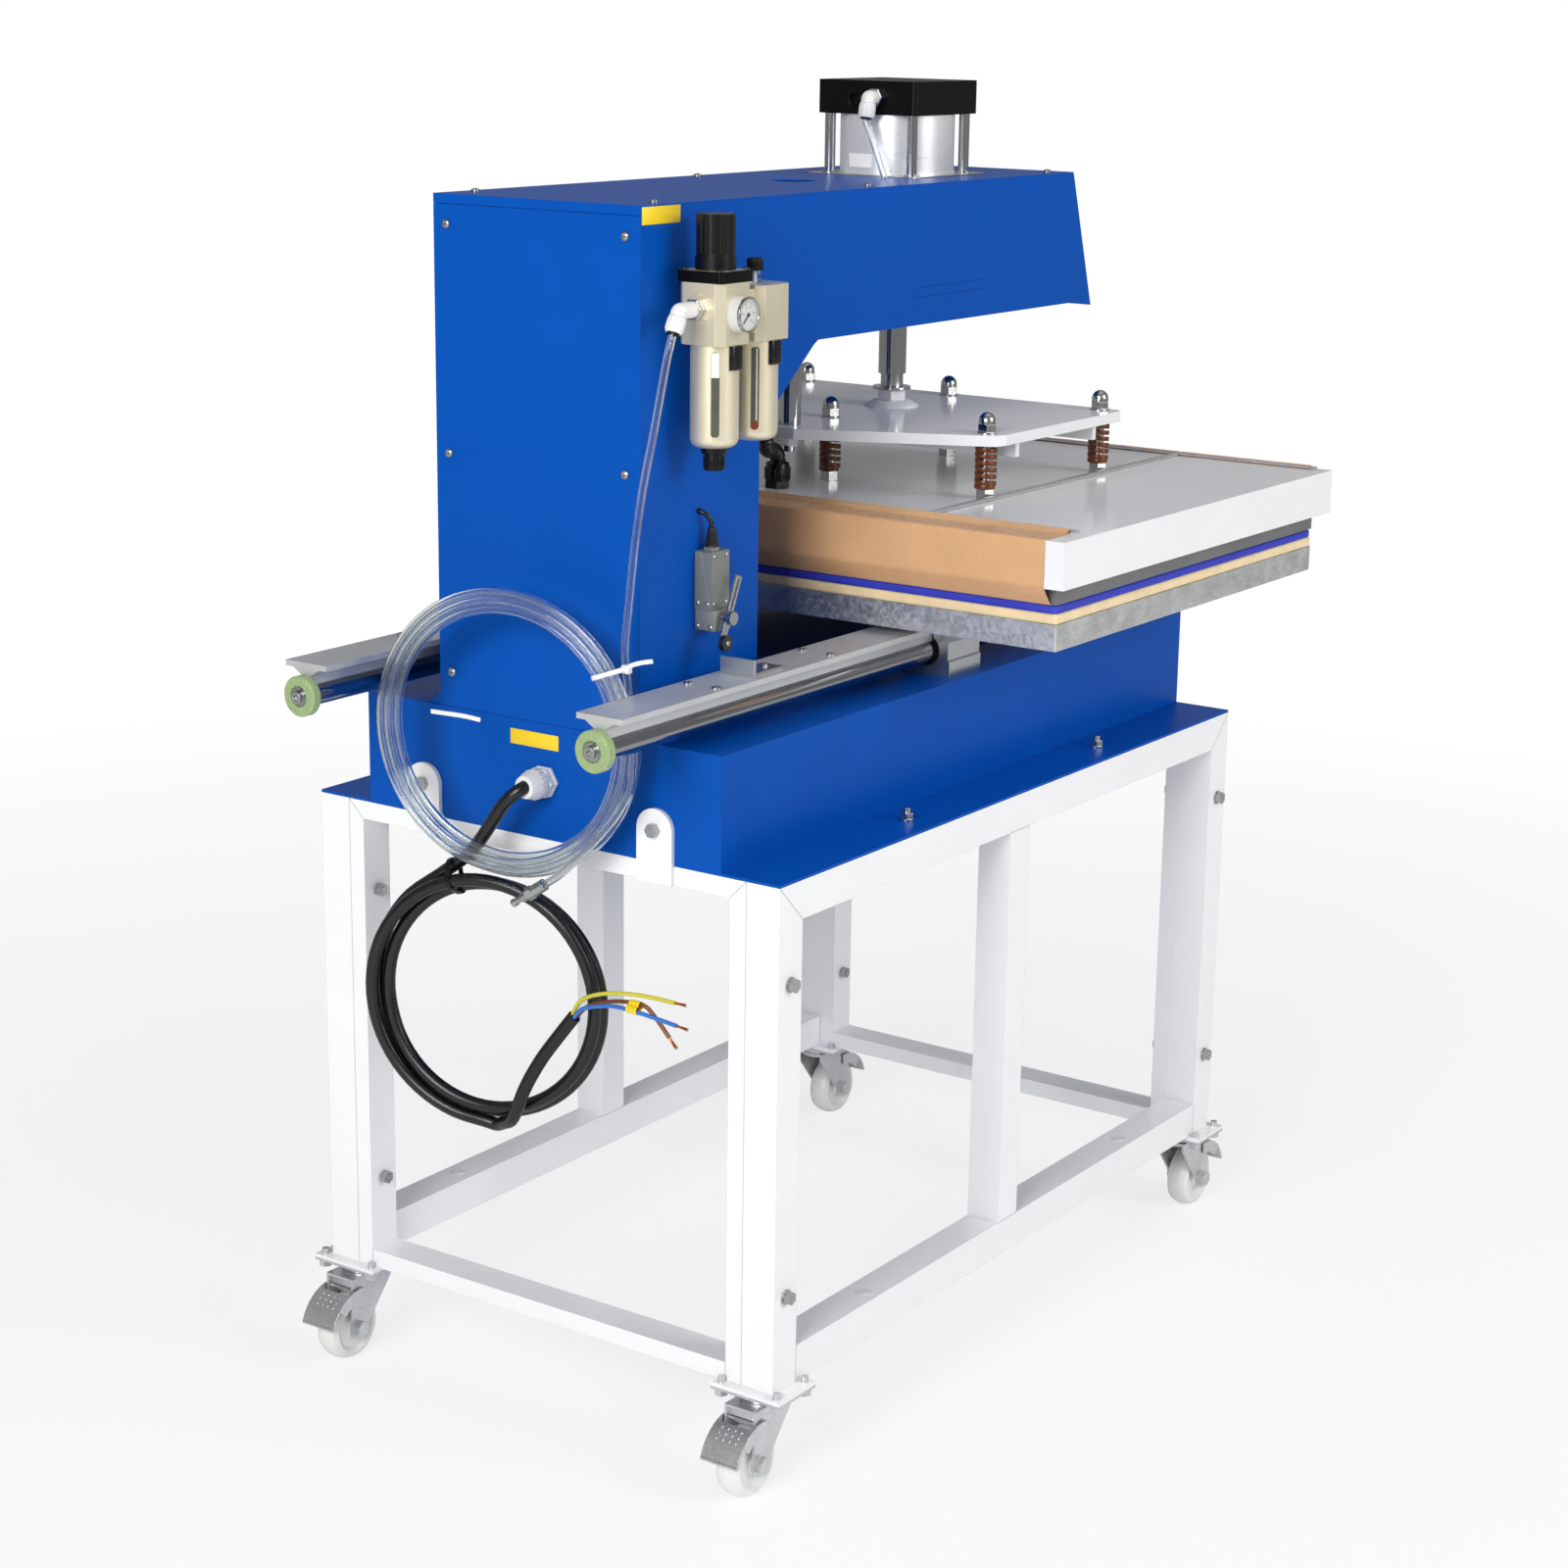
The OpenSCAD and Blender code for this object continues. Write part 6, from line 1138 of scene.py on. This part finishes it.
piece("panel_display", on_front(slab(rounded(38, 17, 3), 0, 0.9, 0.4), 0, PANEL_UP + 20, PANEL_T), LCD)
keys = [on_front(slab(rounded(9, 7, 2.5), 0, 1.8, 0.7), x, PANEL_UP - 22, PANEL_T)
        for x in (-48, -16, 16, 48)]
piece("panel_keys", keys, KEY_CAP)
for name, x, ink in (("panel_lamp_green", -54, GREEN_INK), ("panel_lamp_red", 54, RED_INK)):
    piece(name, on_front(spun([(2.6, 0), (2.6, 0.8), (1.6, 1.7)], 20), x, PANEL_UP + 20, PANEL_T), ink)
piece("panel_screws", [on_front(screw_head(2.8, 1.6, depth=0.8), sx * 69, PANEL_UP + sy * 42, PANEL_T)
                       for sx in (-1, 1) for sy in (-1, 1)], ZINC)

# ---- Caster pedals: punched dots and a rolled lip ----
AXLE_Z, CASTER_X, PEDAL_R, LIP_R = 37.5, 275, 49.0, 48
for end, axle_y, out in (("rear", -9.0, -1), ("front", 963.0, 1)):
    for side, sx in (("right", 1), ("left", -1)):
        dots = []
        for a in (119, 127, 135):
            c, d = out * -math.cos(math.radians(a)), math.sin(math.radians(a))
            for x in (-12, -4, 4, 12):
                at = (CASTER_X * sx + x, axle_y + PEDAL_R * c, AXLE_Z + PEDAL_R * d)
                dots.append(moved(spun([(1.7, -0.3), (1.5, 0.25), (0.8, 0.5)], 10), at, aim((0, c, d))))
        a = math.radians(163)
        c, d = out * -math.cos(a), math.sin(a)
        lip = pipe([(CASTER_X * sx + x, axle_y + LIP_R * c, AXLE_Z + LIP_R * d)
                    for x in (-22.5, 0, 22.5)], 2.0, sides=12)
        which = "%s_%s" % (end, side)
        piece("pedal_tread_" + which, dots + [lip], PRESSED_ZINC, "caster_pedal_" + which, crease=60)

# ---- Cable ties and tape ----


def crossings(path, at, way, near):
    """Where a path passes through the level at a point, across a heading, close by."""
    at, way = Vector(at), Vector(way).normalized()
    found = []
    for a, b in zip(path, path[1:]):
        a, b = Vector(a), Vector(b)
        da, db = (a - at).dot(way), (b - at).dot(way)
        if da * db <= 0 and da != db:
            p = a.lerp(b, da / (da - db))
            if (p - at).length < near:
                found.append(p)
    return found


def band(found, r, way, width, thick):
    """A strap drawn tight round cords that pass through one level."""
    way = Vector(way).normalized()
    u = way.orthogonal().normalized()
    v = way.cross(u)
    mid = sum(found, Vector()) / len(found)
    n = 40
    rings = []
    for k in range(n):
        a = 2 * math.pi * k / n
        d = math.cos(a) * u + math.sin(a) * v
        reach = max((p - mid).dot(d) for p in found) + r
        rings.append([mid + (reach + t) * d + w * way for t, w in
                      ((0.1, -width / 2), (thick, -width / 2), (thick, width / 2), (0.1, width / 2))])
    return skinned(rings, round_trip=True)


def tie_round(path, at, way, near, r, width=4.6):
    """A tie round all the turns of a path that pass close by a point."""
    return band(crossings(path, at, way, near) or [Vector(at)], r, way, width, 1.3)


def tie_end(line, wide):
    """The loose end of a tie, a flat strap."""
    half = wide / 2
    return drawn(smoothed(line, 4), [(-half, -0.5), (half, -0.5), (half, 0.5), (-half, 0.5)])


white_ties = [tie_round(hose_path, (128, -40, 847), (0.35, 0, -0.94), 34, HOSE_R),
              box_of((136, -38, 847), (145, -31, 855), 0.8),
              tie_end([(141, -36, 852), (150, -37, 857), (162, -37, 861), (173.5, -36, 863.6)], 4.4),
              tie_end([(-77, -75, 785), (-52, -79, 787), (-26, -82, 788.5), (-5.5, -83, 788)], 4.4)]
piece("white_cable_ties", white_ties, TIE)
black_tie = tie_round(cable_path, (-70, -50, 613), (0.94, 0.2, 0.3), 36, CABLE_R, 5.0)
piece("black_cable_tie", black_tie, BLACK_PLASTIC)
wires = [smoothed(CONDUCTORS[key], 5) for key in ("neutral", "live")]
tape_points = [[p for wire in wires for p in crossings(wire, (x, -48.5, 510), (1, 0, 0), 30)]
               for x in (157, 161, 165)]
piece("yellow_wire_tape", [band(found, CONDUCTOR_R, (1, 0, 0), 4.6, 0.5) for found in tape_points if found],
      YELLOW_FILM)

# ---- Stage: white paper floor that fades into white air, and three soft boxes ----
FLOOR_HALF, FLOOR_GLOW, GLOW_NEAR, GLOW_FAR = 40.0, 0.72, 0.9, 3.2
WORLD_LEVEL = 0.3
# Name, where it stands, what it looks at, side in metres, watts
LAMPS = [("key_softbox", (0.9, -4.5, 2.5), (0, 0, 0.8), 2.2, 158),
         ("side_softbox", (4.5, 0.6, 2.6), (0, 0, 0.8), 2.4, 104),
         ("top_softbox", (0.4, 0.5, 4.4), (0, 0, 0.6), 3.0, 10)]


def make_stage():
    """The floor, the air and the lamps."""
    data = bpy.data.meshes.new("studio_floor")
    half = FLOOR_HALF
    data.from_pydata([(-half, -half, 0), (half, -half, 0), (half, half, 0), (-half, half, 0)], [],
                     [[0, 1, 2, 3]])
    floor = bpy.data.objects.new("studio_floor", data)
    scene.collection.objects.link(floor)
    mat = bpy.data.materials.new("studio_floor_paper")
    mat.use_nodes = True
    tree = mat.node_tree
    tree.nodes.clear()
    matt = add(tree, "ShaderNodeBsdfDiffuse", {"Color": tint("#FBFBFB")})
    white = add(tree, "ShaderNodeEmission", {"Color": (1, 1, 1, 1), "Strength": 1.0})
    where = add(tree, "ShaderNodeTexCoord").outputs["Object"]
    far = add(tree, "ShaderNodeVectorMath", {0: where}, operation="LENGTH").outputs["Value"]
    fade = add(tree, "ShaderNodeMapRange", {"Value": far, "From Min": GLOW_NEAR, "From Max": GLOW_FAR,
                                            "To Min": FLOOR_GLOW}).outputs[0]
    # The camera sees the paper's own glow; all other rays meet plain matt paper
    seen = add(tree, "ShaderNodeLightPath").outputs["Is Camera Ray"]
    both = add(tree, "ShaderNodeMath", {0: fade, 1: seen}, operation="MULTIPLY").outputs[0]
    mix = add(tree, "ShaderNodeMixShader", {0: both, 1: matt.outputs[0], 2: white.outputs[0]})
    out = add(tree, "ShaderNodeOutputMaterial")
    tree.links.new(mix.outputs[0], out.inputs["Surface"])
    data.materials.append(mat)
    world = bpy.data.worlds.new("studio_air")
    scene.world = world
    world.use_nodes = True
    tree = world.node_tree
    tree.nodes.clear()
    # The air is white to the eye and through clear plastic, and lights the press at a lower level
    rays = add(tree, "ShaderNodeLightPath")
    direct = add(tree, "ShaderNodeMath", {0: rays.outputs["Is Camera Ray"],
                                          1: rays.outputs["Is Transmission Ray"]},
                 operation="MAXIMUM").outputs[0]
    level = add(tree, "ShaderNodeMapRange", {"Value": direct, "To Min": WORLD_LEVEL,
                                             "To Max": 1.0}).outputs[0]
    air = add(tree, "ShaderNodeBackground", {"Color": (1, 1, 1, 1), "Strength": level})
    out = add(tree, "ShaderNodeOutputWorld")
    tree.links.new(air.outputs[0], out.inputs["Surface"])
    for name, at, target, size, watts in LAMPS:
        lamp = bpy.data.lights.new(name, "AREA")
        lamp.shape, lamp.size, lamp.energy = "SQUARE", size, watts
        obj = bpy.data.objects.new(name, lamp)
        obj.location = at
        obj.rotation_euler = (Vector(target) - Vector(at)).to_track_quat("-Z", "Y").to_euler()
        scene.collection.objects.link(obj)


make_stage()
scene.view_settings.view_transform = "Standard"
